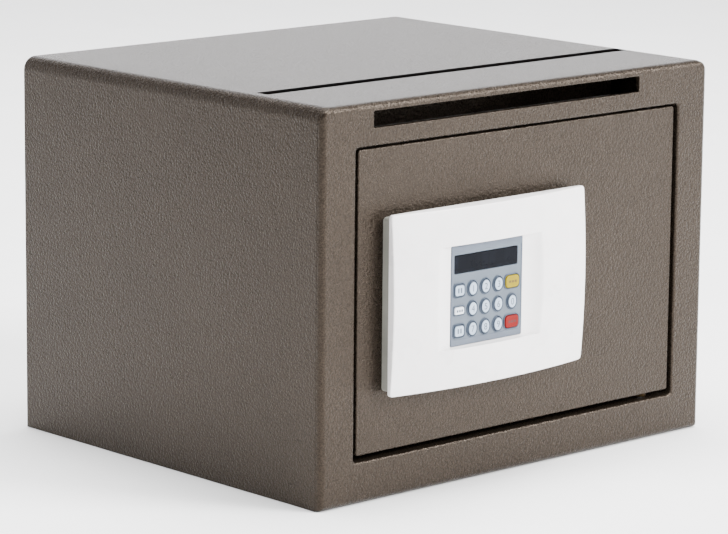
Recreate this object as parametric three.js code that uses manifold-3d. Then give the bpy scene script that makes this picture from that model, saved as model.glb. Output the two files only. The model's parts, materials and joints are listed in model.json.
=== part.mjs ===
// Small drop safe with a letter slot in its front, a cross slot in its top sheet and an electronic lock.
// Millimetres, +Z up, +X to the viewer's right, front face towards -Y, origin at the centre of the base.

import * as THREE from 'three';
import { mergeVertices } from 'three/addons/utils/BufferGeometryUtils.js';
import Module from 'manifold-3d';

const wasm = await Module();
wasm.setup();

// Clearances
const seat = 0.3; // between two pieces that touch
const overrun = 1; // how far a cut runs past the face it goes through

// Body shell
const bodyWidth = 350;
const bodyDepth = 300;
const bodyHeight = 255;
const sheet = 2; // wrap, base plate and back panel
const frontPlate = 3;
const topEdgeRadius = 9;
const bottomEdgeRadius = 1.2;
const leastCornerShare = 0.3; // what an inset corner keeps of its radius
const frontEdgeRadius = 4;
const rimDepth = 4.6; // front frame's rounded rim, up to the seam with the wrap
const spigotDepth = 16; // front frame's inner flange, behind the front face
const spigotWall = 2;

// Door opening in the front frame
const frameSide = 28.25;
const frameTop = 27.3;
const frameSill = 27.3;
const openingCorner = 3;
const openingLip = 1;
const returnDepth = 15;
const returnWall = 3;

// Letter slot in the front frame
const slotLeftMargin = 43;
const slotRightMargin = 67.3;
const slotTopMargin = 5.3;
const slotHeight = 10.6;
const slotCorner = 1;
const slotLip = 0.5;

// Cross slot in the top sheet
const topSlotLeftMargin = 15;
const topSlotRightMargin = 9;
const topSlotSetback = 72.5;
const topSlotWidth = 8;
const topSlotCorner = 1.5;

// Base plate, back panel and floor mat
const baseFlange = 14;
const baseBend = 2.5;
const backFlange = 12;
const backBend = 1.4;
const anchorSpacing = 200;
const anchorRadius = 6;
const baseAnchorBack = 20; // behind the middle of the base
const backAnchorHeight = 150;
const matThickness = 2;
const matMargin = 3;

// Deposit chute and fishing guard
const chuteSheet = 1.5;
const chuteDrop = 0.7; // below the slot's lower edge
const chuteFlangeGap = 0.7; // above the door opening's return flange
const chuteReach = 34;
const chuteFall = 6;
const chuteLip = 7.5;
const chuteSideMargin = 5;
const chuteBend = 1.2;
const toothPitch = 9;
const toothDepth = 3.5;
const guardFlange = 16;
const guardDrop = 30;
const guardSlope = 22; // the guard's lower part comes this far forward and down
const guardSideMargin = 10;
const guardBend = 3;
const guardSetback = 1.2; // behind the cross slot's rear edge

// Door
const doorRecess = 1.2;
const doorThickness = 4;
const doorSideGap = 2.9;
const doorTopGap = 1.5;
const doorBottomGap = 3.7;
const doorCorner = 2;
const doorEdgeRadius = 1;

// Hinge
const hingeInset = 18;
const pinRadius = 3;
const pinClearance = 0.1;
const pinHeadRadius = 4.5;
const pinHead = 1.5;
const pinEngagement = 11;
const lugRadius = 4.9;
const lugLength = 13;
const lugFootWidth = 15;
const lugFoot = 3;

// Lock case on the back of the door, and its cover
const caseLatchMargin = 6;
const caseHingeMargin = 33.85;
const caseEndMargin = 6;
const caseBehindGuide = 1.8;
const caseWall = 1.5;
const caseCorner = 5;
const caseFlange = 8;
const coverPlate = 2;
const coverInset = 0.8;
const screwInset = 6;
const screwRadius = 1.6;
const screwClearance = 0.35;
const screwHeadRadius = 3.4;
const screwHead = 1.8;
const screwTopShare = 0.7;
const screwLength = 6;

// Bolt work
const boltRadius = 8;
const boltLength = 44;
const boltChamfer = 1.5;
const boltPitch = 90;
const boltStroke = 16;
const boltBehindReturn = 0.6;
const guideClearance = 0.1;
const guideWall = 2;
const guideProud = 1.6; // guide's outer end, outside the case wall
const guideLength = 13.5;
const guideFlange = 5; // the flange's reach past the bore
const guideFlangeThickness = 2;
const boltSunk = 0.25; // tip behind the guide's end at rest
const carriagePlate = 3;
const carriageBar = 17;
const carriageEnd = 11; // half size of the turned end that a bolt is screwed to
const carriageLength = 69;
const carriageCorner = 2;
const armBelowCentre = 8.3;
const armHeight = 15;
const armPlay = 0.1;
const postRadius = 2.5;
const postShoulder = 4;
const postHeadRadius = 4.5;
const postHead = 2;
const firstPost = 7; // from the carriage's left end
const secondPost = 37;

// Rack and pinion
const gearModule = 1;
const pinionTeeth = 14;
const pressureAngle = THREE.MathUtils.degToRad(20);
const addendumShare = 0.8; // of the module
const dedendumShare = 1.2;
const backlash = 0.14;
const pinionFromLeft = 45; // from the carriage's left end
const pinionWidth = 5;
const pinionShaft = 2;
const pinionJournal = 3;

// Gear motor
const gearboxGap = 2.5;
const gearboxLeft = 12;
const gearboxRight = 28;
const gearboxAbove = 11;
const gearboxPostGap = 0.7;
const gearboxCorner = 3;
const motorLength = 34;
const motorBoss = 3;
const motorBossLength = 2;

// Battery tray, cells and lid
const cellRadius = 7.25;
const cellLength = 50.5;
const cellNub = 1.3;
const cellNubRadius = 2.75;
const cellGap = 1.1;
const trayWall = 1.5;
const trayHingeMargin = 15.55; // from the case's hinge side to the tray
const trayEndMargin = 18.75;
const lidPlate = 1.8;
const lidOverlap = 3;
const railLatchMargin = 32.4; // from the case's latch side to the rails, which set the lid's travel
const railWall = 1.5;
const railLip = 1.5;
const lidRibs = 5;
const lidRibPitch = 4;
const lidRib = 1.2;
const lidRibLength = 22;
const lidRibInset = 10;
const lidCorner = 1;

// Lock board, cable and grommet
const boardThickness = 1.6;
const lockBoardWidth = 80;
const lockBoardHeight = 60;
const lockBoardHingeMargin = 18;
const lockBoardAbove = 14; // its middle, above the middle of the door
const lockBoardBehindDoor = 26.5;
const bossRadius = 3;
const bossInset = 5;
const boardCorner = 2;
const cableRadius = 1.8;
const cableAcross = 16; // from the middle of the keypad cover
const cableBelow = 22.5;
const cableHole = 5;
const grommetFlange = 7;
const grommetFlangeThickness = 1.4;
const grommetBore = 2.3;
const grommetGap = 0.3;
const cableBend = 5;

// Keypad cover: base and white shell, measured from the door's front face
const coverWidth = 172.4;
const coverHeight = 116.4;
const coverLatchMargin = 19.65;
const coverDrop = 2.7; // below the middle of the door
const coverCornerRadius = 2.5;
const shellEdge = 0.8;
const shellWall = 2;
const shellCornerHeight = 9.7; // door face to the shell's face at its corners
const shellCrownAcross = 8.3;
const shellCrownUp = 2.8;
const plinthDepth = 7.1;
const plinthSideInset = 1.4;
const plinthEndInset = 2.4;
const tongueShare = 0.56; // of the cover's width
const tongueReach = 12.2;
const tongueWall = 1.5;
const scoopFloor = 14.8; // above the door's face
const scoopRun = 14.5;
const scoopRise = 3.6;
const scoopEndMargin = 0.9;
const scoopReachShare = 1.7; // how far the cut's curve runs on, as a share of the run
const edgeStopShares = [0, 0.3, 1]; // grid lines across a rounded edge, as shares of its radius
const shellCells = { across: 16, up: 10 };
const liningCells = { across: 8, up: 6 };

// Keypad
const keypadX = -7.4; // from the middle of the cover
const keypadZ = 0.9;
const keypadWidth = 63.6;
const keypadHeight = 65;
const keypadCorner = 1;
const bezelProud = 0.6;
const bezelChamfer = 1.4;
const bezelChamferDepth = 0.5;
const bezelFlange = 2;
const bezelFlangeThickness = 1.3;
const displayX = -0.9;
const displayZ = 20.4;
const displayWidth = 55.8;
const displayHeight = 11.5;
const displayThickness = 1.2;
const displaySunk = 0.2;
const keyBoardWidth = 60;
const keyBoardHeight = 62;
const keyBoardGap = 2.7; // behind the bezel

// Keys
const keyColumnPitch = 11.4;
const keyRowPitch = 13.15;
const keyMiddleX = -1.7;
const keyMiddleZ = -9.5;
const keyFirstStep = 11.9; // from the first column to the second
const keyLastStep = 12.5;
const ovalWidth = 7.6;
const ovalHeight = 9;
const squareWidth = 9.4;
const squareHeight = 8;
const squareCorner = 2;
const barWidth = 8.8;
const barHeight = 5.2;
const barCorner = 1.2;
const wideWidth = 12.2;
const wideHeight = 8.2;
const wideCorner = 2.6;
const keyGap = 0.45;
const keyProud = 1;
const keyCrown = 0.3;
const keyCrownInset = 0.5;
const keyCollar = 0.8;
const keyCollarThickness = 0.8;

// Round faces: how many flats a full turn or a quarter turn has
const turn = 24;
const smallTurn = 16;
const screwTurn = 12;
const quarter = 4;

// Places worked out from the sizes above
const frontY = -bodyDepth / 2;
const backY = bodyDepth / 2;
const halfBody = bodyWidth / 2;
const innerHalf = halfBody - sheet - seat; // outer face of what sits inside the wrap
const innerTop = bodyHeight - sheet - seat;
const openingHalf = halfBody - frameSide;
const openingTop = bodyHeight - frameTop;
const doorHalf = openingHalf - doorSideGap;
const doorTop = openingTop - doorTopGap;
const doorBottom = frameSill + doorBottomGap;
const doorHalfHeight = (doorTop - doorBottom) / 2;
const doorCentreZ = (doorTop + doorBottom) / 2;
const doorFrontY = frontY + doorRecess;
const slotLeft = slotLeftMargin - halfBody;
const slotRight = halfBody - slotRightMargin;
const slotBottom = bodyHeight - slotTopMargin - slotHeight;
const topSlotY = frontY + topSlotSetback;
const caseFront = doorThickness + seat; // behind the door's front face, like the lines below
const caseLeft = caseLatchMargin - doorHalf;
const caseRight = doorHalf - caseHingeMargin;
const caseHalfHeight = doorHalfHeight - caseEndMargin;
const hingeX = doorHalf - hingeInset;
const hingeDepth = doorThickness + seat + lugRadius;
const boltDepth = returnDepth - doorRecess + boltBehindReturn + boltRadius;
const guideFlangeRadius = boltRadius + guideClearance + guideFlange;
const caseBack = boltDepth + guideFlangeRadius + caseBehindGuide + caseWall;
const coverFront = caseBack + seat;
const coverBack = coverFront + coverPlate;
const guideEndX = caseLeft - guideProud;
const boltTipX = guideEndX + boltSunk;
const carriageLeft = boltTipX + boltLength + seat;
const armTop = armHeight - armBelowCentre;
const pinionRadius = (gearModule * pinionTeeth) / 2;
const pinionX = carriageLeft + pinionFromLeft;
const pitchLineZ = armTop + dedendumShare * gearModule;
const pinionZ = pitchLineZ + pinionRadius;
const carriageFront = boltDepth - carriagePlate / 2;
const carriageBack = boltDepth + carriagePlate / 2;
const gearboxBack = carriageFront - gearboxGap;
const motorRadius = (gearboxBack - caseFront) / 2 - seat;
const postZ = armTop - armHeight / 2;
const cellPitch = 2 * cellRadius + cellGap;
const trayInnerLength = 2 * cellLength + 3 * seat;
const trayInnerHeight = cellPitch + 2 * cellRadius + 2 * seat;
const trayLength = trayInnerLength + 2 * trayWall;
const trayHeight = trayInnerHeight + 2 * trayWall;
const trayDepth = trayWall + seat + 2 * cellRadius + trayWall;
const trayCentreX = caseRight - trayHingeMargin - trayLength / 2;
const trayCentreZ = trayEndMargin + trayHeight / 2 - caseHalfHeight;
const lidLength = trayLength + 2 * lidOverlap;
const lidHeight = trayHeight + 2 * lidOverlap;
const lidFront = coverBack + seat;
const lidBack = lidFront + lidPlate;
const lockBoardX = caseRight - lockBoardHingeMargin - lockBoardWidth / 2;
const lockBoardZ = lockBoardAbove;
const coverX = coverLatchMargin + coverWidth / 2 - doorHalf;
const coverZ = -coverDrop;
const cableX = coverX + cableAcross;
const cableZ = coverZ - cableBelow;
const shellRear = -(plinthDepth + seat);
const bezelFront = -(scoopFloor + bezelProud);
const shellFloorBack = shellWall - scoopFloor;
const bezelFlangeFront = shellFloorBack + seat;
const bezelBack = bezelFlangeFront + bezelFlangeThickness;
const keyBoardFront = bezelBack + keyBoardGap;

// Finishes
const finishes = {
  coat: { color: 0x746c64, roughness: 0.55, metalness: 0.45 },
  zinc: { color: 0xb4b6b8, roughness: 0.4, metalness: 0.9 },
  brass: { color: 0xb89b55, roughness: 0.35, metalness: 0.95 },
  felt: { color: 0x2b2b2d, roughness: 0.95, metalness: 0 },
  white: { color: 0xf2f1ee, roughness: 0.4, metalness: 0 },
  plinth: { color: 0x9a9b92, roughness: 0.5, metalness: 0 },
  bezel: { color: 0xaab4c3, roughness: 0.35, metalness: 0 },
  display: { color: 0x33363c, roughness: 0.15, metalness: 0 },
  key: { color: 0xc3cfdd, roughness: 0.5, metalness: 0 },
  keyWhite: { color: 0xeef1f4, roughness: 0.5, metalness: 0 },
  keyYellow: { color: 0xf0df2e, roughness: 0.5, metalness: 0 },
  keyRed: { color: 0xd9483f, roughness: 0.5, metalness: 0 },
  black: { color: 0x222326, roughness: 0.55, metalness: 0 },
  acetal: { color: 0xe4e2da, roughness: 0.45, metalness: 0 },
  cell: { color: 0x3d4450, roughness: 0.35, metalness: 0.3 },
  board: { color: 0x2f6a48, roughness: 0.6, metalness: 0 },
  rubber: { color: 0x1b1b1c, roughness: 0.85, metalness: 0 },
};

// Closed solids

/** Turns a closed geometry into a solid, whichever way its faces were wound. */
function solid(geometry) {
  const bare = new THREE.BufferGeometry();
  bare.setAttribute('position', geometry.getAttribute('position').clone());
  bare.setIndex(geometry.getIndex());
  const merged = mergeVertices(bare);
  const points = merged.getAttribute('position');
  const index = merged.getIndex().array;
  const corners = [0, 1, 2].map(() => new THREE.Vector3());
  const faces = [];
  let volume = 0;
  for (let i = 0; i < index.length; i += 3) {
    const face = [index[i], index[i + 1], index[i + 2]];
    if (new Set(face).size === 3) {
      corners.forEach((corner, k) => corner.fromBufferAttribute(points, face[k]));
      volume += corners[0].dot(corners[1].cross(corners[2]));
      faces.push(face);
    }
  }
  const outward = volume > 0 ? faces : faces.map(([a, b, c]) => [a, c, b]);
  const mesh = new wasm.Mesh({
    numProp: 3,
    vertProperties: new Float32Array(points.array),
    triVerts: new Uint32Array(outward.flat()),
  });
  return new wasm.Manifold(mesh);
}

/** Gives a solid's faces back as a geometry. */
function geometryOf(body) {
  const mesh = body.getMesh();
  const geometry = new THREE.BufferGeometry();
  geometry.setAttribute('position', new THREE.BufferAttribute(new Float32Array(mesh.vertProperties), 3));
  geometry.setIndex(new THREE.BufferAttribute(new Uint32Array(mesh.triVerts), 1));
  geometry.computeVertexNormals();
  return geometry;
}

/** Joins all the given solids. */
function join(first, ...others) {
  return others.reduce((sum, other) => sum.add(other), first);
}

/** Cuts every tool out of a solid. */
function cut(body, ...tools) {
  return tools.reduce((rest, tool) => rest.subtract(tool), body);
}

// Outlines, as lists of points that run anticlockwise

/** Points along an arc, both ends included. */
function arc(x, y, radius, from, to, steps) {
  const points = [];
  for (let i = 0; i <= steps; i += 1) {
    const angle = from + ((to - from) * i) / steps;
    points.push(new THREE.Vector2(x + radius * Math.cos(angle), y + radius * Math.sin(angle)));
  }
  return points;
}

/** A box between two corners, with one radius for its lower corners and one for its upper corners. */
function panel(left, bottom, right, top, lower, upper = lower, steps = quarter) {
  const right90 = Math.PI / 2;
  const places = [
    [left + lower, bottom + lower, lower, 2],
    [right - lower, bottom + lower, lower, 3],
    [right - upper, top - upper, upper, 4],
    [left + upper, top - upper, upper, 5],
  ];
  return places.flatMap(([x, y, radius, side]) => {
    if (radius === 0) {
      return [new THREE.Vector2(x, y)];
    }
    return arc(x, y, radius, side * right90, (side + 1) * right90, steps);
  });
}

/** A box round a centre, with equal corners. */
function rounded(x, y, width, height, radius, steps = quarter) {
  return panel(x - width / 2, y - height / 2, x + width / 2, y + height / 2, radius, radius, steps);
}

/** A full circle. */
function disc(x, y, radius, steps = turn) {
  return arc(x, y, radius, 0, 2 * Math.PI, steps).slice(0, steps);
}

/** An ellipse with one point at the middle of each side. */
function ellipse(width, height, steps) {
  return disc(0, 0, 1, steps).map((p) => new THREE.Vector2((p.x * width) / 2, (p.y * height) / 2));
}

/** Rounds the inner corners of an open path. */
function bent(points, radius, steps = 3) {
  const path = [points[0]];
  for (let i = 1; i < points.length - 1; i += 1) {
    const corner = points[i];
    const before = points[i - 1].clone().sub(corner).normalize();
    const after = points[i + 1].clone().sub(corner).normalize();
    const half = before.angleTo(after) / 2;
    const middle = before.clone().add(after).normalize();
    const centre = corner.clone().addScaledVector(middle, radius / Math.sin(half));
    const start = corner.clone().addScaledVector(before, radius / Math.tan(half));
    const end = corner.clone().addScaledVector(after, radius / Math.tan(half));
    const from = start.clone().sub(centre).angle();
    let sweep = end.clone().sub(centre).angle() - from;
    sweep -= 2 * Math.PI * Math.round(sweep / (2 * Math.PI));
    path.push(...arc(centre.x, centre.y, radius, from, from + sweep, steps));
  }
  path.push(points[points.length - 1]);
  return path;
}

/** The closed outline of sheet metal that follows a path and lies to the left of it. */
function folded(path, thickness) {
  const outer = path.map((point, i) => {
    const before = point.clone().sub(path[Math.max(i - 1, 0)]);
    const after = path[Math.min(i + 1, path.length - 1)].clone().sub(point);
    const run = i === 0 ? after : before;
    const next = i === path.length - 1 ? before : after;
    const a = new THREE.Vector2(-run.y, run.x).normalize();
    const b = new THREE.Vector2(-next.y, next.x).normalize();
    const mitre = a.clone().add(b).normalize();
    return point.clone().addScaledVector(mitre, thickness / mitre.dot(a));
  });
  return [...path, ...outer.reverse()];
}

// Solids from outlines

const alongX = new THREE.Matrix4().makeBasis(
  new THREE.Vector3(0, 1, 0),
  new THREE.Vector3(0, 0, 1),
  new THREE.Vector3(1, 0, 0),
);
const alongY = new THREE.Matrix4().makeBasis(
  new THREE.Vector3(1, 0, 0),
  new THREE.Vector3(0, 0, 1),
  new THREE.Vector3(0, -1, 0),
);

/** Extrudes an outline with its holes by a depth, out of the plane that it is drawn in. */
function slab(outline, depth, holes) {
  const shape = new THREE.Shape(outline);
  shape.holes = holes.map((hole) => new THREE.Path(hole));
  return new THREE.ExtrudeGeometry(shape, { depth, bevelEnabled: false, steps: 1 });
}

/** An outline drawn in y and z, between two x places. */
function acrossX(outline, from, to, holes = []) {
  return solid(slab(outline, to - from, holes).applyMatrix4(alongX).translate(from, 0, 0));
}

/** An outline drawn in x and z, between two y places. */
function acrossY(outline, from, to, holes = []) {
  return solid(slab(outline, to - from, holes).applyMatrix4(alongY).translate(0, to, 0));
}

/** An outline drawn in x and y, between two z places. */
function acrossZ(outline, from, to, holes = []) {
  return solid(slab(outline, to - from, holes).translate(0, 0, from));
}

/** A turned piece: its profile is pairs of radius and place along the axis, closed or ending on the axis. */
function turned(profile, axis, flats = turn) {
  const points = profile.map(([radius, place]) => new THREE.Vector2(radius, place));
  const geometry = new THREE.LatheGeometry(points, flats);
  if (axis === 'x') {
    geometry.rotateZ(-Math.PI / 2);
  }
  if (axis === 'z') {
    geometry.rotateX(Math.PI / 2);
  }
  return solid(geometry);
}

/** A loft through outlines in x and z, each at its own y, all with equal numbers of points. */
function loft(rings) {
  const count = rings[0].outline.length;
  const positions = [];
  const index = [];
  rings.forEach(({ outline, y }) => outline.forEach((p) => positions.push(p.x, y, p.y)));
  for (let r = 0; r < rings.length - 1; r += 1) {
    for (let i = 0; i < count; i += 1) {
      const a = r * count + i;
      const b = r * count + ((i + 1) % count);
      index.push(a, a + count, b, b, a + count, b + count);
    }
  }
  const last = (rings.length - 1) * count;
  for (let i = 1; i < count - 1; i += 1) {
    index.push(0, i, i + 1);
    index.push(last, last + i + 1, last + i);
  }
  const geometry = new THREE.BufferGeometry();
  geometry.setAttribute('position', new THREE.Float32BufferAttribute(positions, 3));
  geometry.setIndex(index);
  return solid(geometry);
}

/** Outlines for an edge that is rounded from a face at y, going inwards along +Y. */
function roundedEdge(y, radius, outlineAt, steps = quarter) {
  const rings = [];
  for (let i = 0; i <= steps; i += 1) {
    const angle = (i / steps) * (Math.PI / 2);
    const inset = radius * (1 - Math.sin(angle));
    rings.push({ y: y + radius * (1 - Math.cos(angle)), outline: outlineAt(inset) });
  }
  return rings;
}

/** A cutter for an opening whose front edge is rounded outwards by a lip. */
function flaredCutter(faceY, lip, endY, outlineAt) {
  const rings = roundedEdge(faceY, lip, (inset) => outlineAt(inset), 3);
  rings.unshift({ y: faceY - overrun, outline: outlineAt(lip) });
  rings.push({ y: endY, outline: outlineAt(0) });
  return loft(rings);
}

/** Makes a named piece and adds it to a group. */
function addPiece(group, name, body, finish, place = [0, 0, 0]) {
  const mesh = new THREE.Mesh(geometryOf(body), new THREE.MeshStandardMaterial(finishes[finish]));
  mesh.name = name;
  mesh.position.set(...place);
  group.add(mesh);
  return mesh;
}

// Body

function bodyOutline(inset) {
  return panel(
    inset - halfBody,
    inset,
    halfBody - inset,
    bodyHeight - inset,
    Math.max(bottomEdgeRadius - inset, bottomEdgeRadius * leastCornerShare),
    Math.max(topEdgeRadius - inset, topEdgeRadius * leastCornerShare),
  );
}

function frontFrame() {
  const rimEnd = frontY + rimDepth;
  const spigotEnd = frontY + spigotDepth;
  const returnEnd = frontY + returnDepth;
  const innerCorner = topEdgeRadius - sheet - seat;
  const rim = loft([
    ...roundedEdge(frontY, frontEdgeRadius, bodyOutline),
    { y: rimEnd, outline: bodyOutline(0) },
  ]);
  const spigot = acrossY(
    panel(-innerHalf, sheet + seat, innerHalf, innerTop, bottomEdgeRadius, innerCorner),
    frontY + frontPlate / 2,
    spigotEnd,
  );
  const hollow = acrossY(
    panel(
      spigotWall - innerHalf,
      sheet + seat + spigotWall,
      innerHalf - spigotWall,
      innerTop - spigotWall,
      bottomEdgeRadius,
      innerCorner - spigotWall,
    ),
    frontY + frontPlate,
    spigotEnd + overrun,
  );
  const openingOutline = (outset) =>
    panel(
      -openingHalf - outset,
      frameSill - outset,
      openingHalf + outset,
      openingTop + outset,
      openingCorner + outset,
    );
  const returnRing = acrossY(openingOutline(returnWall), frontY + frontPlate / 2, returnEnd);
  const opening = flaredCutter(frontY, openingLip, returnEnd + overrun, openingOutline);
  const slotOutline = (outset) =>
    panel(
      slotLeft - outset,
      slotBottom - outset,
      slotRight + outset,
      slotBottom + slotHeight + outset,
      slotCorner + outset,
      slotCorner + outset,
      2,
    );
  const slot = flaredCutter(frontY, slotLip, frontY + frontPlate + overrun, slotOutline);
  const pinHoles = [frameSill - returnWall / 2, openingTop + returnWall / 2].map((z) =>
    acrossZ(
      disc(hingeX, doorFrontY + hingeDepth, pinRadius + pinClearance),
      z - returnWall / 2 - overrun,
      z + returnWall / 2 + overrun,
    ),
  );
  return cut(join(cut(join(rim, spigot), hollow), returnRing), opening, slot, ...pinHoles);
}

function bodyWrap() {
  const start = frontY + rimDepth + seat;
  const inside = acrossY(
    panel(
      sheet - halfBody,
      -overrun,
      halfBody - sheet,
      bodyHeight - sheet,
      0,
      topEdgeRadius - sheet,
    ),
    start - overrun,
    backY + overrun,
  );
  const left = topSlotLeftMargin - halfBody;
  const right = halfBody - topSlotRightMargin;
  const topSlot = acrossZ(
    panel(
      left,
      topSlotY - topSlotWidth / 2,
      right,
      topSlotY + topSlotWidth / 2,
      topSlotCorner,
      topSlotCorner,
      2,
    ),
    bodyHeight - topEdgeRadius,
    bodyHeight + overrun,
  );
  return cut(acrossY(bodyOutline(0), start, backY), inside, topSlot);
}

const anchorXs = [-anchorSpacing / 2, anchorSpacing / 2];

function baseAnchorHoles() {
  return anchorXs.map((x) =>
    acrossZ(disc(x, baseAnchorBack, anchorRadius), -overrun, sheet + seat + matThickness + overrun),
  );
}

function basePlate() {
  const plate = acrossZ(
    panel(
      baseBend - innerHalf,
      frontY + rimDepth + seat,
      innerHalf - baseBend,
      backY,
      0,
    ),
    0,
    sheet,
  );
  const flanges = cut(
    acrossY(
      panel(-innerHalf, 0, innerHalf, baseFlange, baseBend, 0),
      frontY + spigotDepth + seat,
      backY - sheet - backFlange - seat,
    ),
    acrossY(
      panel(sheet - innerHalf, sheet, innerHalf - sheet, baseFlange + overrun, baseBend - sheet, 0),
      frontY,
      backY,
    ),
  );
  return cut(join(plate, flanges), ...baseAnchorHoles());
}

function backPanel() {
  const outline = (inset) =>
    panel(
      inset - innerHalf,
      sheet + seat + inset,
      innerHalf - inset,
      innerTop - inset,
      backBend - inset / 2,
      topEdgeRadius - sheet - seat - inset,
    );
  const tray = cut(
    acrossY(outline(0), backY - sheet - backFlange, backY),
    acrossY(outline(sheet), backY - sheet - backFlange - overrun, backY - sheet),
  );
  const holes = anchorXs.map((x) =>
    acrossY(disc(x, backAnchorHeight, anchorRadius), backY - sheet - overrun, backY + overrun),
  );
  return cut(tray, ...holes);
}

function floorMat() {
  const half = innerHalf - sheet - matMargin;
  const mat = acrossZ(
    panel(
      -half,
      frontY + spigotDepth + matMargin,
      half,
      backY - sheet - backFlange - matMargin,
      matMargin,
    ),
    sheet + seat,
    sheet + seat + matThickness,
  );
  return cut(mat, ...baseAnchorHoles());
}

/** A sheet that takes letters in below the slot and ends in a toothed lip against fishing. */
function depositChute() {
  const y = frontY + frontPlate + seat;
  const z = slotBottom - chuteDrop;
  const left = slotLeft - chuteSideMargin;
  const right = slotRight + chuteSideMargin;
  const lipEnd = z - chuteFall - chuteLip;
  const path = bent(
    [
      new THREE.Vector2(y + chuteReach, lipEnd),
      new THREE.Vector2(y + chuteReach, z - chuteFall),
      new THREE.Vector2(y, z),
      new THREE.Vector2(y, openingTop + returnWall + chuteFlangeGap),
    ],
    chuteBend + chuteSheet,
  );
  const sheetBody = acrossX(folded(path, chuteSheet), left, right);
  const teeth = Math.floor((right - left) / toothPitch);
  const first = (left + right - teeth * toothPitch) / 2;
  const notches = [];
  for (let i = 0; i < teeth; i += 1) {
    const x = first + i * toothPitch;
    notches.push(
      acrossY(
        [
          new THREE.Vector2(x, lipEnd - overrun),
          new THREE.Vector2(x + toothPitch, lipEnd - overrun),
          new THREE.Vector2(x + toothPitch / 2, lipEnd + toothDepth),
        ],
        y + chuteReach - chuteSheet - overrun,
        y + chuteReach + overrun,
      ),
    );
  }
  return cut(sheetBody, ...notches);
}

/** A hanging sheet behind the cross slot that turns forward under it. */
function fishingGuard() {
  const y = topSlotY + topSlotWidth / 2 + guardSetback;
  const half = halfBody - sheet - guardSideMargin;
  const path = bent(
    [
      new THREE.Vector2(y + guardFlange, innerTop),
      new THREE.Vector2(y, innerTop),
      new THREE.Vector2(y, innerTop - guardDrop),
      new THREE.Vector2(y - guardSlope, innerTop - guardDrop - guardSlope),
    ],
    guardBend,
  );
  return acrossX(folded(path, chuteSheet), -half, half);
}

/** A headed pin along z; its head is outside the frame's flange and its end is inside a lug. */
function hingePin(headOuter, headInner, end) {
  return turned(
    [
      [0, headOuter],
      [pinHeadRadius, headOuter],
      [pinHeadRadius, headInner],
      [pinRadius, headInner],
      [pinRadius, end],
      [0, end],
    ],
    'z',
  );
}

function buildBody() {
  const body = new THREE.Group();
  addPiece(body, 'front_frame', frontFrame(), 'coat');
  addPiece(body, 'body_wrap', bodyWrap(), 'coat');
  addPiece(body, 'base_plate', basePlate(), 'coat');
  addPiece(body, 'back_panel', backPanel(), 'coat');
  addPiece(body, 'floor_mat', floorMat(), 'felt');
  addPiece(body, 'deposit_chute', depositChute(), 'coat');
  addPiece(body, 'fishing_guard', fishingGuard(), 'coat');

  const hinge = new THREE.Group();
  hinge.position.set(hingeX, doorFrontY + hingeDepth, 0);
  const lowerHead = frameSill - returnWall - seat;
  const upperHead = openingTop + returnWall + seat;
  const lowerPin = hingePin(lowerHead - pinHead, lowerHead, doorBottom + pinEngagement);
  const upperPin = hingePin(upperHead + pinHead, upperHead, doorTop - pinEngagement);
  addPiece(hinge, 'hinge_pin_lower', lowerPin, 'zinc');
  addPiece(hinge, 'hinge_pin_upper', upperPin, 'zinc');
  const bush = (from, to) =>
    acrossZ(disc(0, 0, lugRadius), from, to, [disc(0, 0, pinRadius + pinClearance)]);
  addPiece(hinge, 'hinge_bush_lower', bush(frameSill + seat, doorBottom - seat), 'brass');
  addPiece(hinge, 'hinge_bush_upper', bush(doorTop + seat, openingTop - seat), 'brass');
  body.add(hinge);
  return body;
}

// Door, in its own frame: y is measured back from its front face and z from its middle

function doorPanel() {
  const outline = (inset) =>
    panel(
      inset - doorHalf,
      inset - doorHalfHeight,
      doorHalf - inset,
      doorHalfHeight - inset,
      doorCorner - inset / 2,
    );
  const plate = loft([
    ...roundedEdge(0, doorEdgeRadius, outline, 3),
    { y: doorThickness, outline: outline(0) },
  ]);
  return cut(plate, acrossY(disc(cableX, cableZ, cableHole), -overrun, doorThickness + overrun));
}

/** A knuckle welded to the back of the door by its foot. */
function hingeLug(from, to) {
  const y = doorThickness + seat;
  const knuckle = acrossZ(disc(hingeX, hingeDepth, lugRadius), from, to);
  const left = hingeX - lugFootWidth / 2;
  const foot = acrossZ(panel(left, y, left + lugFootWidth, y + lugFoot, 0), from, to);
  const bore = acrossZ(disc(hingeX, hingeDepth, pinRadius + pinClearance), from - overrun, to + overrun);
  return cut(join(knuckle, foot), bore);
}

const boltZs = { upper: boltPitch / 2, lower: -boltPitch / 2 };
const screwPlaces = [
  [caseLeft + screwInset, -caseHalfHeight + screwInset],
  [caseRight - screwInset, -caseHalfHeight + screwInset],
  [caseRight - screwInset, caseHalfHeight - screwInset],
  [caseLeft + screwInset, caseHalfHeight - screwInset],
];

function caseOutline(inset) {
  return panel(
    caseLeft + inset,
    inset - caseHalfHeight,
    caseRight - inset,
    caseHalfHeight - inset,
    Math.max(caseCorner - inset, caseCorner * leastCornerShare),
  );
}

function screwHole(x, z, from, to) {
  return acrossY(disc(x, z, screwRadius + screwClearance, screwTurn), from - overrun, to + overrun);
}

/** Four folded walls, open at the door, with a flange round the rear for the cover. */
function lockCase() {
  const walls = acrossY(caseOutline(0), caseFront, caseBack);
  const inside = acrossY(caseOutline(caseWall), caseFront - overrun, caseBack - caseWall);
  const window = acrossY(caseOutline(caseWall + caseFlange), caseFront, caseBack + overrun);
  const guideHoles = Object.values(boltZs).map((z) =>
    acrossX(
      disc(boltDepth, z, boltRadius + guideClearance + guideWall + seat),
      caseLeft - overrun,
      caseLeft + caseWall + overrun,
    ),
  );
  const screwHoles = screwPlaces.map(([x, z]) => screwHole(x, z, caseBack - caseWall, caseBack));
  return cut(walls, inside, window, ...guideHoles, ...screwHoles);
}

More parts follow.
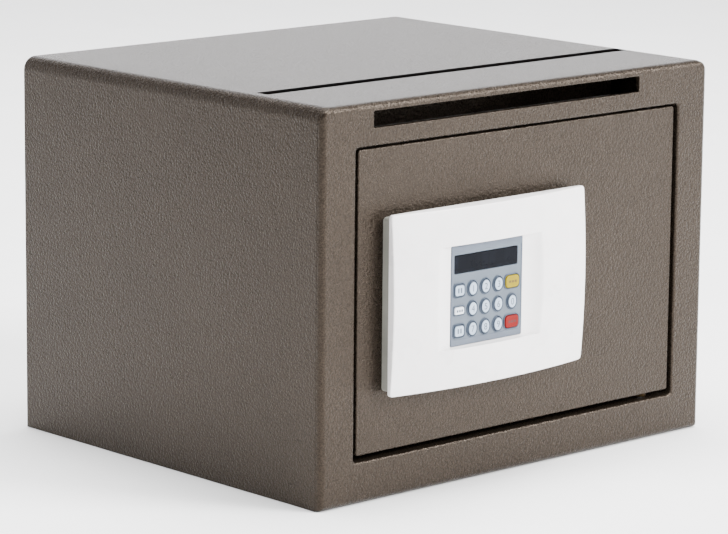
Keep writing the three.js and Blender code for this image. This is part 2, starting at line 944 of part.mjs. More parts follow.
/** One hooked rail beside the battery lid; side is 1 above the lid and -1 below it. */
function lidRail(side) {
  const edge = trayCentreZ + side * (lidHeight / 2 + seat);
  const outer = edge + side * railWall;
  const lip = edge - side * (railLip + seat);
  const top = lidBack + seat + railWall;
  const outline = [
    new THREE.Vector2(coverBack - coverPlate / 2, outer),
    new THREE.Vector2(top, outer),
    new THREE.Vector2(top, lip),
    new THREE.Vector2(lidBack + seat, lip),
    new THREE.Vector2(lidBack + seat, edge),
    new THREE.Vector2(coverBack - coverPlate / 2, edge),
  ];
  return acrossX(outline, caseLeft + railLatchMargin, trayCentreX + lidLength / 2);
}

const lockBoardBack = lockBoardBehindDoor + caseFront + boardThickness;
const lockBoardBosses = [-1, 1].flatMap((sx) =>
  [-1, 1].map((sz) => [
    lockBoardX + sx * (lockBoardWidth / 2 - bossInset),
    lockBoardZ + sz * (lockBoardHeight / 2 - bossInset),
  ]),
);

function caseCover() {
  const plate = acrossY(caseOutline(coverInset), coverFront, coverBack);
  const window = acrossY(
    rounded(trayCentreX, trayCentreZ, trayInnerLength, trayInnerHeight, boardCorner, 2),
    coverFront - overrun,
    coverBack + overrun,
  );
  const holes = screwPlaces.map(([x, z]) => screwHole(x, z, coverFront, coverBack));
  const bosses = lockBoardBosses.map(([x, z]) =>
    acrossY(disc(x, z, bossRadius, screwTurn), lockBoardBack + seat, coverBack - coverPlate / 2),
  );
  return join(cut(plate, window, ...holes), lidRail(1), lidRail(-1), ...bosses);
}

/** A pan-headed screw with the underside of its head at 0. */
function coverScrew() {
  return turned(
    [
      [0, screwHead],
      [screwHeadRadius * screwTopShare, screwHead],
      [screwHeadRadius, screwHead / 2],
      [screwHeadRadius, 0],
      [screwRadius, 0],
      [screwRadius, -screwLength],
      [0, -screwLength],
    ],
    'y',
    screwTurn,
  );
}

/** A flanged bush: its barrel goes out through the case wall and its flange stays inside. */
function boltGuide() {
  const bore = boltRadius + guideClearance;
  const barrel = bore + guideWall;
  const flange = guideProud + caseWall + seat;
  return turned(
    [
      [bore, 0],
      [barrel, 0],
      [barrel, flange],
      [guideFlangeRadius, flange],
      [guideFlangeRadius, flange + guideFlangeThickness],
      [barrel, flange + guideFlangeThickness],
      [barrel, guideLength],
      [bore, guideLength],
      [bore, 0],
    ],
    'x',
  );
}

function lockBolt() {
  return turned(
    [
      [0, 0],
      [boltRadius - boltChamfer, 0],
      [boltRadius, boltChamfer],
      [boltRadius, boltLength],
      [0, boltLength],
    ],
    'x',
  );
}

/** Rack teeth along x on top of the arm; a gap stands below the pinion when the bolts are back. */
function rackOutline(left, right) {
  const pitch = Math.PI * gearModule;
  const rootZ = armTop;
  const tipZ = pitchLineZ + addendumShare * gearModule;
  const slope = Math.tan(pressureAngle);
  const halfAtPitch = pitch / 4 - backlash / 2;
  const halfAtTip = halfAtPitch - (tipZ - pitchLineZ) * slope;
  const halfAtRoot = halfAtPitch + (pitchLineZ - rootZ) * slope;
  const first = Math.ceil((left + halfAtRoot - pinionX) / pitch - 1 / 2);
  const last = Math.floor((right - halfAtRoot - pinionX) / pitch - 1 / 2);
  const points = [];
  for (let i = last; i >= first; i -= 1) {
    const x = pinionX + (i + 1 / 2) * pitch;
    points.push(new THREE.Vector2(x + halfAtRoot, rootZ));
    points.push(new THREE.Vector2(x + halfAtTip, tipZ));
    points.push(new THREE.Vector2(x - halfAtTip, tipZ));
    points.push(new THREE.Vector2(x - halfAtRoot, rootZ));
  }
  return points;
}

function guideSlot(fromLeft) {
  const half = postRadius + armPlay;
  const left = carriageLeft + fromLeft - half;
  return rounded(
    left + half + boltStroke / 2,
    postZ,
    boltStroke + 2 * half + armPlay,
    2 * half,
    half,
  );
}

/** The sliding plate: a bar with two turned ends for the bolts and an arm with the rack. */
function boltCarriage() {
  const right = carriageLeft + carriageLength;
  const bottom = armTop - armHeight;
  const barRight = carriageLeft + carriageBar;
  const endZ = boltPitch / 2 + carriageEnd;
  const outline = [
    new THREE.Vector2(carriageLeft, -endZ),
    new THREE.Vector2(barRight - carriageCorner, -endZ),
    new THREE.Vector2(barRight, carriageCorner - endZ),
    new THREE.Vector2(barRight, bottom),
    new THREE.Vector2(right, bottom),
    new THREE.Vector2(right, armTop),
    ...rackOutline(pinionX - boltStroke, right),
    new THREE.Vector2(barRight, armTop),
    new THREE.Vector2(barRight, endZ - carriageCorner),
    new THREE.Vector2(barRight - carriageCorner, endZ),
    new THREE.Vector2(carriageLeft, endZ),
  ];
  const slots = [guideSlot(firstPost), guideSlot(secondPost)];
  const plate = acrossY(outline, carriageFront, carriageBack, slots);
  const ends = Object.values(boltZs).map((z) =>
    acrossX(
      rounded(boltDepth, z, 2 * carriageEnd, 2 * carriageEnd, carriageCorner, 2),
      carriageLeft,
      carriageLeft + carriagePlate,
    ),
  );
  return join(plate, ...ends);
}

/** Outline of an involute gear with one tooth pointing along -y. */
function gearOutline(teeth) {
  const pitchRadius = (gearModule * teeth) / 2;
  const baseRadius = pitchRadius * Math.cos(pressureAngle);
  const tipRadius = pitchRadius + addendumShare * gearModule;
  const rootRadius = pitchRadius - dedendumShare * gearModule;
  const involute = (angle) => Math.tan(angle) - angle;
  const halfAtPitch = (Math.PI * gearModule - 2 * backlash) / (4 * pitchRadius);
  const halfAt = (radius) => {
    const angle = Math.acos(Math.min(baseRadius / radius, 1));
    return halfAtPitch + involute(pressureAngle) - involute(angle);
  };
  const flankSteps = 3;
  const flank = [rootRadius];
  for (let i = 0; i <= flankSteps; i += 1) {
    flank.push(baseRadius + ((tipRadius - baseRadius) * i) / flankSteps);
  }
  const points = [];
  for (let tooth = 0; tooth < teeth; tooth += 1) {
    const middle = -Math.PI / 2 + (2 * Math.PI * tooth) / teeth;
    const place = (radius, side) => {
      const angle = middle + side * halfAt(radius);
      return new THREE.Vector2(radius * Math.cos(angle), radius * Math.sin(angle));
    };
    points.push(...flank.map((radius) => place(radius, -1)));
    points.push(...[...flank].reverse().map((radius) => place(radius, 1)));
  }
  return points;
}

function drivePinion() {
  const gear = acrossY(gearOutline(pinionTeeth), -pinionWidth / 2, pinionWidth / 2);
  const end = gearboxBack - pinionJournal - boltDepth;
  return join(gear, acrossY(disc(0, 0, pinionShaft), end, 0));
}

/** A shouldered post that the carriage slides along, with a head to keep it there. */
function guidePost() {
  const shoulder = carriageFront - seat;
  const underHead = carriageBack + seat;
  return turned(
    [
      [0, caseFront],
      [postShoulder, caseFront],
      [postShoulder, shoulder],
      [postRadius, shoulder],
      [postRadius, underHead],
      [postHeadRadius, underHead],
      [postHeadRadius, underHead + postHead],
      [0, underHead + postHead],
    ],
    'y',
    smallTurn,
  );
}

function gearboxHousing() {
  const outline = panel(
    pinionX - gearboxLeft,
    postZ + postShoulder + gearboxPostGap,
    pinionX + gearboxRight,
    pinionZ + gearboxAbove,
    gearboxCorner,
    gearboxCorner,
    2,
  );
  const journal = acrossY(
    disc(pinionX, pinionZ, pinionShaft + pinClearance),
    gearboxBack - pinionJournal - seat,
    gearboxBack + overrun,
  );
  return cut(acrossY(outline, caseFront, gearboxBack), journal);
}

function motorCan() {
  return turned(
    [
      [0, 0],
      [motorRadius, 0],
      [motorRadius, motorLength],
      [motorBoss, motorLength],
      [motorBoss, motorLength + motorBossLength],
      [0, motorLength + motorBossLength],
    ],
    'x',
  );
}

function batteryTray() {
  const back = coverFront - seat;
  const outer = acrossY(
    rounded(trayCentreX, trayCentreZ, trayLength, trayHeight, trayWall, 1),
    back - trayDepth,
    back,
  );
  const inner = acrossY(
    rounded(trayCentreX, trayCentreZ, trayInnerLength, trayInnerHeight, 0),
    back - trayDepth + trayWall,
    back + overrun,
  );
  return cut(outer, inner);
}

function batteryCell() {
  const shoulder = cellLength - cellNub;
  return turned(
    [
      [0, 0],
      [cellRadius, 0],
      [cellRadius, shoulder],
      [cellNubRadius, shoulder],
      [cellNubRadius, cellLength],
      [0, cellLength],
    ],
    'x',
    smallTurn,
  );
}

/** The lid slides between the rails; ribs at its right end give a grip. */
function batteryLid() {
  const plate = acrossY(rounded(0, 0, lidLength, lidHeight, lidCorner, 1), lidFront, lidBack);
  const ribs = [];
  for (let i = 0; i < lidRibs; i += 1) {
    const x = lidLength / 2 - lidRibInset - i * lidRibPitch;
    ribs.push(
      acrossY(rounded(x, 0, lidRib, lidRibLength, lidRib / 2, 1), lidBack - lidRib, lidBack + lidRib),
    );
  }
  return join(plate, ...ribs);
}

function lockBoard() {
  return acrossY(
    rounded(lockBoardX, lockBoardZ, lockBoardWidth, lockBoardHeight, boardCorner, 1),
    lockBoardBack - boardThickness,
    lockBoardBack,
  );
}

function cableGrommet() {
  const front = -seat - grommetFlangeThickness;
  const rear = doorThickness + seat;
  const neck = cableHole - grommetGap;
  return turned(
    [
      [grommetBore, front],
      [grommetFlange, front],
      [grommetFlange, -seat],
      [neck, -seat],
      [neck, rear],
      [grommetFlange, rear],
      [grommetFlange, rear + grommetFlangeThickness],
      [grommetBore, rear + grommetFlangeThickness],
      [grommetBore, front],
    ],
    'y',
    smallTurn,
  );
}

/** The cable from the keypad board, through the door, to the lock board. */
function keypadCable() {
  const start = keyBoardFront + boardThickness + seat;
  const inside = caseFront + grommetFlangeThickness;
  const end = lockBoardBack - boardThickness - seat;
  const endX = lockBoardX + lockBoardWidth / 4;
  const endZ = lockBoardZ - lockBoardHeight / 4;
  const route = new THREE.CatmullRomCurve3([
    new THREE.Vector3(cableX, start, cableZ),
    new THREE.Vector3(cableX, inside, cableZ),
    new THREE.Vector3(cableX, inside + cableBend, cableZ),
    new THREE.Vector3((cableX + endX) / 2, (inside + end) / 2, (cableZ + endZ) / 2),
    new THREE.Vector3(endX, end - cableBend, endZ),
    new THREE.Vector3(endX, end, endZ),
  ]);
  const section = new THREE.Shape(disc(0, 0, cableRadius, 8));
  return solid(new THREE.ExtrudeGeometry(section, { steps: 18, bevelEnabled: false, extrudePath: route }));
}

// Keypad cover, in its own frame: y is measured from the door's front face, x and z from its middle

/** Grid stops over a length, with extra ones where the edge is rounded. */
function stops(length, edge, count) {
  const places = edgeStopShares.map((share) => share * edge);
  for (let i = 1; i < count; i += 1) {
    places.push((length * i) / count);
  }
  places.push(...edgeStopShares.map((share) => length - share * edge).reverse());
  return places.map((place) => place - length / 2);
}

/** A block with a face crowned across and up, and a rounded rim. */
function crownedBlock(width, height, rear, corner, cells) {
  const xs = stops(width, shellEdge, cells.across);
  const zs = stops(height, shellEdge, cells.up);
  const face = (x, z) => {
    const u = (2 * x) / width;
    const v = (2 * z) / height;
    const rim = Math.min(width / 2 - Math.abs(x), height / 2 - Math.abs(z));
    const reach = Math.max(shellEdge - rim, 0);
    const fall = shellEdge - Math.sqrt(Math.max(shellEdge * shellEdge - reach * reach, 0));
    return fall - corner - shellCrownAcross * (1 - u * u) - shellCrownUp * (1 - v * v);
  };
  const positions = [];
  const index = [];
  const at = (i, j) => j * xs.length + i;
  zs.forEach((z) => xs.forEach((x) => positions.push(x, face(x, z), z)));
  for (let j = 0; j < zs.length - 1; j += 1) {
    for (let i = 0; i < xs.length - 1; i += 1) {
      index.push(at(i, j), at(i + 1, j), at(i + 1, j + 1), at(i, j), at(i + 1, j + 1), at(i, j + 1));
    }
  }
  const loop = [];
  xs.forEach((x, i) => loop.push(at(i, 0)));
  zs.slice(1).forEach((z, j) => loop.push(at(xs.length - 1, j + 1)));
  xs.slice(1).forEach((x, i) => loop.push(at(xs.length - 2 - i, zs.length - 1)));
  zs.slice(1, -1).forEach((z, j) => loop.push(at(0, zs.length - 2 - j)));
  const rearStart = positions.length / 3;
  loop.forEach((k) => positions.push(positions[3 * k], rear, positions[3 * k + 2]));
  const centre = positions.length / 3;
  positions.push(0, rear, 0);
  loop.forEach((k, i) => {
    const next = (i + 1) % loop.length;
    index.push(k, rearStart + i, loop[next], loop[next], rearStart + i, rearStart + next);
    index.push(centre, rearStart + next, rearStart + i);
  });
  const geometry = new THREE.BufferGeometry();
  geometry.setAttribute('position', new THREE.Float32BufferAttribute(positions, 3));
  geometry.setIndex(index);
  return solid(geometry);
}

/** The scoop round the keypad: flat under the keypad, curving up to both sides. */
function scoopCutter(floor, grow) {
  const steps = 7;
  const far = -scoopFloor - shellCrownAcross - shellCrownUp;
  const left = keypadX - keypadWidth / 2;
  const right = keypadX + keypadWidth / 2;
  const side = (x, direction) => {
    const points = [];
    for (let i = 0; i <= steps; i += 1) {
      const share = (scoopReachShare * i) / steps;
      const rise = scoopRise * share * share;
      points.push(new THREE.Vector2(x + direction * (scoopRun * share + grow), floor - rise));
    }
    return points;
  };
  const rightSide = side(right, 1);
  const leftSide = side(left, -1).reverse();
  const outline = [
    ...rightSide.map((p) => new THREE.Vector2(p.x, Math.max(p.y, far))),
    ...leftSide.map((p) => new THREE.Vector2(p.x, Math.max(p.y, far))),
  ];
  const half = keypadHeight / 2 + scoopEndMargin + grow;
  const closed = [
    ...outline.slice(0, steps + 1),
    new THREE.Vector2(rightSide[steps].x, far - overrun),
    new THREE.Vector2(leftSide[0].x, far - overrun),
    ...outline.slice(steps + 1),
  ];
  return acrossZ(closed.reverse(), keypadZ - half, keypadZ + half);
}

function keypadShell() {
  const outer = crownedBlock(coverWidth, coverHeight, shellRear, shellCornerHeight, shellCells);
  const prism = acrossY(
    rounded(0, 0, coverWidth, coverHeight, coverCornerRadius),
    -scoopFloor - shellCrownAcross - shellCrownUp,
    shellRear + overrun,
  );
  const inner = crownedBlock(
    coverWidth - 2 * shellWall,
    coverHeight - 2 * shellWall,
    shellRear + overrun,
    shellCornerHeight - shellWall,
    liningCells,
  );
  const hollow = cut(inner, scoopCutter(shellFloorBack, shellWall));
  const window = acrossY(
    rounded(keypadX, keypadZ, keypadWidth + 2 * seat, keypadHeight + 2 * seat, keypadCorner + seat, 2),
    -scoopFloor - overrun,
    shellFloorBack + overrun,
  );
  return cut(outer.intersect(prism), scoopCutter(-scoopFloor, 0), hollow, window);
}

/** The grey plinth: a tray against the door with two tongues that the shell clips over. */
function keypadBase() {
  const width = coverWidth - 2 * plinthSideInset;
  const height = coverHeight - 2 * plinthEndInset;
  const tongueHalf = (coverWidth * tongueShare) / 2;
  const outline = (inset) =>
    rounded(0, 0, width - 2 * inset, height - 2 * inset, coverCornerRadius - inset / 2);
  const tray = cut(
    acrossY(outline(0), -plinthDepth, -seat),
    acrossY(outline(shellWall), -plinthDepth - overrun, -seat - shellWall),
  );
  const tongues = [-1, 1].map((side) => {
    const outer = (side * height) / 2;
    const inner = side * (height / 2 - tongueWall);
    return acrossY(
      panel(-tongueHalf, Math.min(inner, outer), tongueHalf, Math.max(inner, outer), 0),
      -tongueReach,
      -plinthDepth + overrun,
    );
  });
  const bosses = keyBoardBosses.map(([x, z]) =>
    acrossY(disc(x, z, bossRadius, screwTurn), keyBoardFront + boardThickness + seat, -seat - shellWall / 2),
  );
  const cableWay = acrossY(
    disc(cableX - coverX, cableZ - coverZ, grommetFlange + seat),
    -seat - shellWall - overrun,
    overrun,
  );
  return cut(join(tray, ...tongues, ...bosses), cableWay);
}

const keyBoardBosses = [-1, 1].flatMap((sx) =>
  [-1, 1].map((sz) => [
    keypadX + sx * (keyBoardWidth / 2 - bossRadius),
    keypadZ + sz * (keyBoardHeight / 2 - bossRadius),
  ]),
);

function keyOutline(kind, grow) {
  const shapes = {
    oval: () => ellipse(ovalWidth + 2 * grow, ovalHeight + 2 * grow, smallTurn),
    square: () => rounded(0, 0, squareWidth + 2 * grow, squareHeight + 2 * grow, squareCorner + grow, 2),
    bar: () => rounded(0, 0, barWidth + 2 * grow, barHeight + 2 * grow, barCorner + grow, 2),
    wide: () => rounded(0, 0, wideWidth + 2 * grow, wideHeight + 2 * grow, wideCorner + grow, 2),
  };
  return shapes[kind]();
}

const columns = [
  keyMiddleX - keyColumnPitch - keyFirstStep,
  keyMiddleX - keyColumnPitch,
  keyMiddleX,
  keyMiddleX + keyColumnPitch,
  keyMiddleX + keyColumnPitch + keyLastStep,
];
const rows = [keyMiddleZ + keyRowPitch, keyMiddleZ, keyMiddleZ - keyRowPitch];
const keyKinds = [
  ['square', 'oval', 'oval', 'oval', 'wide'],
  ['bar', 'oval', 'oval', 'oval', 'oval'],
  ['square', 'oval', 'oval', 'oval', 'wide'],
];
const keyFinishes = [
  ['key', 'key', 'key', 'key', 'keyYellow'],
  ['keyWhite', 'key', 'key', 'key', 'key'],
  ['key', 'key', 'key', 'key', 'keyRed'],
];
const keys = rows.flatMap((z, row) =>
  columns.map((x, column) => ({
    name: `key_row${row + 1}_col${column + 1}`,
    kind: keyKinds[row][column],
    finish: keyFinishes[row][column],
    x: keypadX + x,
    z: keypadZ + z,
  })),
);

function keypadBezel() {
  const outline = (inset) =>
    rounded(keypadX, keypadZ, keypadWidth - 2 * inset, keypadHeight - 2 * inset, keypadCorner, 2);
  const plate = loft([
    { y: bezelFront, outline: outline(bezelChamfer) },
    { y: bezelFront + bezelChamferDepth, outline: outline(0) },
    { y: bezelBack, outline: outline(0) },
  ]);
  const flange = acrossY(outline(-bezelFlange), bezelFlangeFront, bezelBack);
  const pocket = acrossY(
    rounded(
      keypadX + displayX,
      keypadZ + displayZ,
      displayWidth + 2 * seat,
      displayHeight + 2 * seat,
      keypadCorner,
      2,
    ),
    bezelFront - overrun,
    bezelFront + displaySunk + displayThickness + seat,
  );
  const holes = keys.map(({ kind, x, z }) =>
    acrossY(keyOutline(kind, keyGap), bezelFront - overrun, bezelBack + overrun).translate([x, 0, z]),
  );
  return cut(join(plate, flange), pocket, ...holes);
}

function displayWindow() {
  return acrossY(
    rounded(keypadX + displayX, keypadZ + displayZ, displayWidth, displayHeight, keypadCorner, 2),
    bezelFront + displaySunk,
    bezelFront + displaySunk + displayThickness,
  );
}

function keypadBoard() {
  return acrossY(
    rounded(keypadX, keypadZ, keyBoardWidth, keyBoardHeight, boardCorner, 1),
    keyBoardFront,
    keyBoardFront + boardThickness,
  );
}

/** A key cap with a crowned top and a collar that holds it behind the bezel. */
function keyCap(kind) {
  const top = bezelFront - keyProud;
  const collarFront = bezelBack + seat;
  return loft([
    { y: top, outline: keyOutline(kind, -keyCrownInset) },
    { y: top + keyCrown, outline: keyOutline(kind, 0) },
    { y: collarFront, outline: keyOutline(kind, 0) },
    { y: collarFront, outline: keyOutline(kind, keyCollar) },
    { y: collarFront + keyCollarThickness, outline: keyOutline(kind, keyCollar) },
  ]);
}

function buildKeypad() {
  const keypad = new THREE.Group();
  keypad.position.set(coverX, 0, coverZ);
  addPiece(keypad, 'keypad_base', keypadBase(), 'plinth');
  addPiece(keypad, 'keypad_shell', keypadShell(), 'white');
  addPiece(keypad, 'keypad_bezel', keypadBezel(), 'bezel');
  addPiece(keypad, 'display_window', displayWindow(), 'display');
  addPiece(keypad, 'keypad_board', keypadBoard(), 'board');
  keys.forEach(({ name, kind, finish, x, z }) => {
    addPiece(keypad, name, keyCap(kind), finish, [x, 0, z]);
  });
  return keypad;
}

function buildBoltWork() {
  const work = new THREE.Group();
  Object.entries(boltZs).forEach(([name, z]) => {
    addPiece(work, `bolt_guide_${name}`, boltGuide(), 'acetal', [guideEndX, boltDepth, z]);
    addPiece(work, `lock_bolt_${name}`, lockBolt(), 'zinc', [boltTipX, boltDepth, z]);
  });
  addPiece(work, 'bolt_carriage', boltCarriage(), 'zinc');
  [firstPost, secondPost].forEach((fromLeft, i) => {
    const place = [carriageLeft + fromLeft, 0, postZ];
    addPiece(work, `guide_post_${i + 1}`, guidePost(), 'zinc', place);
  });
  addPiece(work, 'drive_pinion', drivePinion(), 'brass', [pinionX, boltDepth, pinionZ]);
  addPiece(work, 'gearbox_housing', gearboxHousing(), 'acetal');
  const motorX = pinionX + gearboxRight + seat;
  addPiece(work, 'motor_can', motorCan(), 'zinc', [motorX, (caseFront + gearboxBack) / 2, pinionZ]);
  return work;
}

function buildBatteries() {
  const batteries = new THREE.Group();
  addPiece(batteries, 'battery_tray', batteryTray(), 'black');
  const depth = coverFront - seat - trayDepth + trayWall + seat + cellRadius;
  const firstX = trayCentreX - trayInnerLength / 2 + seat;
  let number = 1;
  [1, -1].forEach((side) => {
    [0, 1].forEach((place) => {
      const x = firstX + place * (cellLength + seat);
      const z = trayCentreZ + (side * cellPitch) / 2;
      addPiece(batteries, `battery_cell_${number}`, batteryCell(), 'cell', [x, depth, z]);
      number += 1;
    });
  });
  addPiece(batteries, 'battery_lid', batteryLid(), 'black', [trayCentreX, 0, trayCentreZ]);
  return batteries;
}

function buildDoor() {
  const door = new THREE.Group();
  door.position.set(0, doorFrontY, doorCentreZ);
  addPiece(door, 'door_panel', doorPanel(), 'coat');
  addPiece(door, 'hinge_lug_lower', hingeLug(-doorHalfHeight, lugLength - doorHalfHeight), 'zinc');
  addPiece(door, 'hinge_lug_upper', hingeLug(doorHalfHeight - lugLength, doorHalfHeight), 'zinc');
  addPiece(door, 'lock_case', lockCase(), 'coat');
  addPiece(door, 'case_cover', caseCover(), 'black');
  screwPlaces.forEach(([x, z], i) => {
    addPiece(door, `cover_screw_${i + 1}`, coverScrew(), 'zinc', [x, coverBack + seat, z]);
  });
  addPiece(door, 'lock_board', lockBoard(), 'board');
  addPiece(door, 'cable_grommet', cableGrommet(), 'rubber', [cableX, 0, cableZ]);
  addPiece(door, 'keypad_cable', keypadCable(), 'rubber');
  door.add(buildBoltWork(), buildBatteries(), buildKeypad());
  return door;
}

const safe = new THREE.Group();
safe.add(buildBody(), buildDoor());

export default safe;
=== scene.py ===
"""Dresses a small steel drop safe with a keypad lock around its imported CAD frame.

Sizes are in millimetres, in the frame of the CAD model: +X to the viewer's right, -Y out of the front and
+Z up. Workpiece turns them into metres.
"""

from __future__ import annotations

import json
import logging
import math
import sys
from collections.abc import Callable, Iterator, Sequence
from contextlib import contextmanager
from dataclasses import dataclass
from enum import Enum

import bmesh
import bpy
from mathutils import Matrix, Vector

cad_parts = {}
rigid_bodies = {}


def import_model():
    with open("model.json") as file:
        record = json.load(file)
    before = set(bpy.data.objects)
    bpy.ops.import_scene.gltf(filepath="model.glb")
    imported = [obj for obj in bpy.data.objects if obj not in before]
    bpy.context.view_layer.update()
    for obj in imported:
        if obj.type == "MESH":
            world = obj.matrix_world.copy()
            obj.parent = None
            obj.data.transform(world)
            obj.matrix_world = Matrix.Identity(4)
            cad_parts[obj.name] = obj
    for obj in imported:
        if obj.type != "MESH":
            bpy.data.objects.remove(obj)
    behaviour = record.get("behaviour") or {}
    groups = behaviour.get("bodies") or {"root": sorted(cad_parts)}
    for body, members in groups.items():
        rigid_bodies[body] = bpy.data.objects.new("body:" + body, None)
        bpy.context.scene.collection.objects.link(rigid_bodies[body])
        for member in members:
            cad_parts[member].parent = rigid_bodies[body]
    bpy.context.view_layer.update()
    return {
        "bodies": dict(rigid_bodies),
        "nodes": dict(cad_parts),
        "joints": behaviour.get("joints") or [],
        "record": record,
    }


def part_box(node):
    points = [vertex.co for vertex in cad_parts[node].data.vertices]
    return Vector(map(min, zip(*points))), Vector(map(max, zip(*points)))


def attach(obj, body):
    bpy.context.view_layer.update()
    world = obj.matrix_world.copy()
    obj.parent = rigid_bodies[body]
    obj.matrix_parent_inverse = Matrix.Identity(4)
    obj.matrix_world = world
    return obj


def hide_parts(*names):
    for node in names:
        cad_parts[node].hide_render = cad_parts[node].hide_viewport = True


LOG = logging.getLogger("drop_safe")
# A millimetre, in metres.
MM = 0.001
# Clearance between the front frame's spigot and the wrap round it, in millimetres.
SEAT = 0.3
# Two places closer than this are one place, in millimetres.
SAME = 0.002
Point = tuple[float, float, float]
Levels = Sequence[tuple[float, float]]
FaceTest = Callable[[Vector, Vector], bool]
EdgeTest = Callable[[Vector, Vector], bool]
VertexTest = Callable[[Vector], bool]


class Axis(Enum):
    """The frame's three axes."""

    X = 0
    Y = 1
    Z = 2

    def along(self, length: float) -> Vector:
        """A vector of that length along the axis."""
        return Vector([length if i == self.value else 0.0 for i in range(3)])

    def growth(self, first: float, second: float) -> Point:
        """Resize factors for the two directions across the axis."""
        factors = {Axis.X: (1, first, second), Axis.Y: (first, 1, second), Axis.Z: (first, second, 1)}
        return factors[self]

    def turn(self) -> Point:
        """The rotation that lays a flat outline across the axis."""
        quarter = math.pi / 2
        return {Axis.X: (quarter, 0, quarter), Axis.Y: (quarter, 0, 0), Axis.Z: (0, 0, 0)}[self]


class Join(Enum):
    """Ways to combine two solids."""

    UNION = "UNION"
    SUBTRACT = "DIFFERENCE"


class Body(Enum):
    """The bodies that pieces ride on. Each key's cap is a body of its own, named after the key."""

    SHELL = "body"
    DOOR = "door"
    BOLTS = "bolt_work"
    LID = "battery_cover"


class KeyForm(Enum):
    """The key shapes on the keypad."""

    OVAL = "oval"
    SQUARE = "square"
    BAR = "bar"
    WIDE = "wide"


# Finishes


def linear(code: str) -> tuple[float, float, float, float]:
    """Turns an sRGB hex value into a linear colour.

    Args:
        code: Six hex digits.

    Returns:
        Red, green, blue and alpha.
    """
    shares = [int(code[i : i + 2], 16) / 255 for i in (0, 2, 4)]
    curve = [s / 12.92 if s <= 0.04045 else ((s + 0.055) / 1.055) ** 2.4 for s in shares]
    return curve[0], curve[1], curve[2], 1.0


def add_node(
    tree: bpy.types.NodeTree,
    kind: str,
    settings: dict[str | int, object] | None = None,
    links: dict[str | int, bpy.types.NodeSocket] | None = None,
    stops: Sequence[tuple[float, str]] = (),
) -> bpy.types.Node:
    """Adds a shader node with its settings and links.

    Args:
        tree: The material's node tree.
        kind: The node's type.
        settings: Values by input name, input number or property name.
        links: The sockets that feed its inputs.
        stops: A colour ramp's places from 0 to 1, each with an sRGB hex value.

    Returns:
        The new node.
    """
    node = tree.nodes.new(kind)
    for key, value in (settings or {}).items():
        if isinstance(key, int) or key in node.inputs:
            node.inputs[key].default_value = value
        else:
            setattr(node, key, value)
    for key, socket in (links or {}).items():
        tree.links.new(socket, node.inputs[key])
    if stops:
        elements = node.color_ramp.elements
        while len(elements) < len(stops):
            elements.new(0.5)
        for element, (place, code) in zip(elements, stops):
            element.position = place
            element.color = linear(code)
    return node


def grains(size: float, detail: float) -> dict[str | int, object]:
    """A noise's settings for grains that are that many millimetres across."""
    return {"Scale": 1 / (size * MM), "Detail": detail, "Roughness": 0.6}


@dataclass(frozen=True)
class Surface:
    """A material in the making: its node tree, its shader and its object coordinates, in metres."""

    tree: bpy.types.NodeTree
    shader: bpy.types.Node
    place: bpy.types.NodeSocket

    def feed(self, name: str, socket: bpy.types.NodeSocket) -> None:
        """Links a socket to one of the shader's inputs."""
        self.tree.links.new(socket, self.shader.inputs[name])


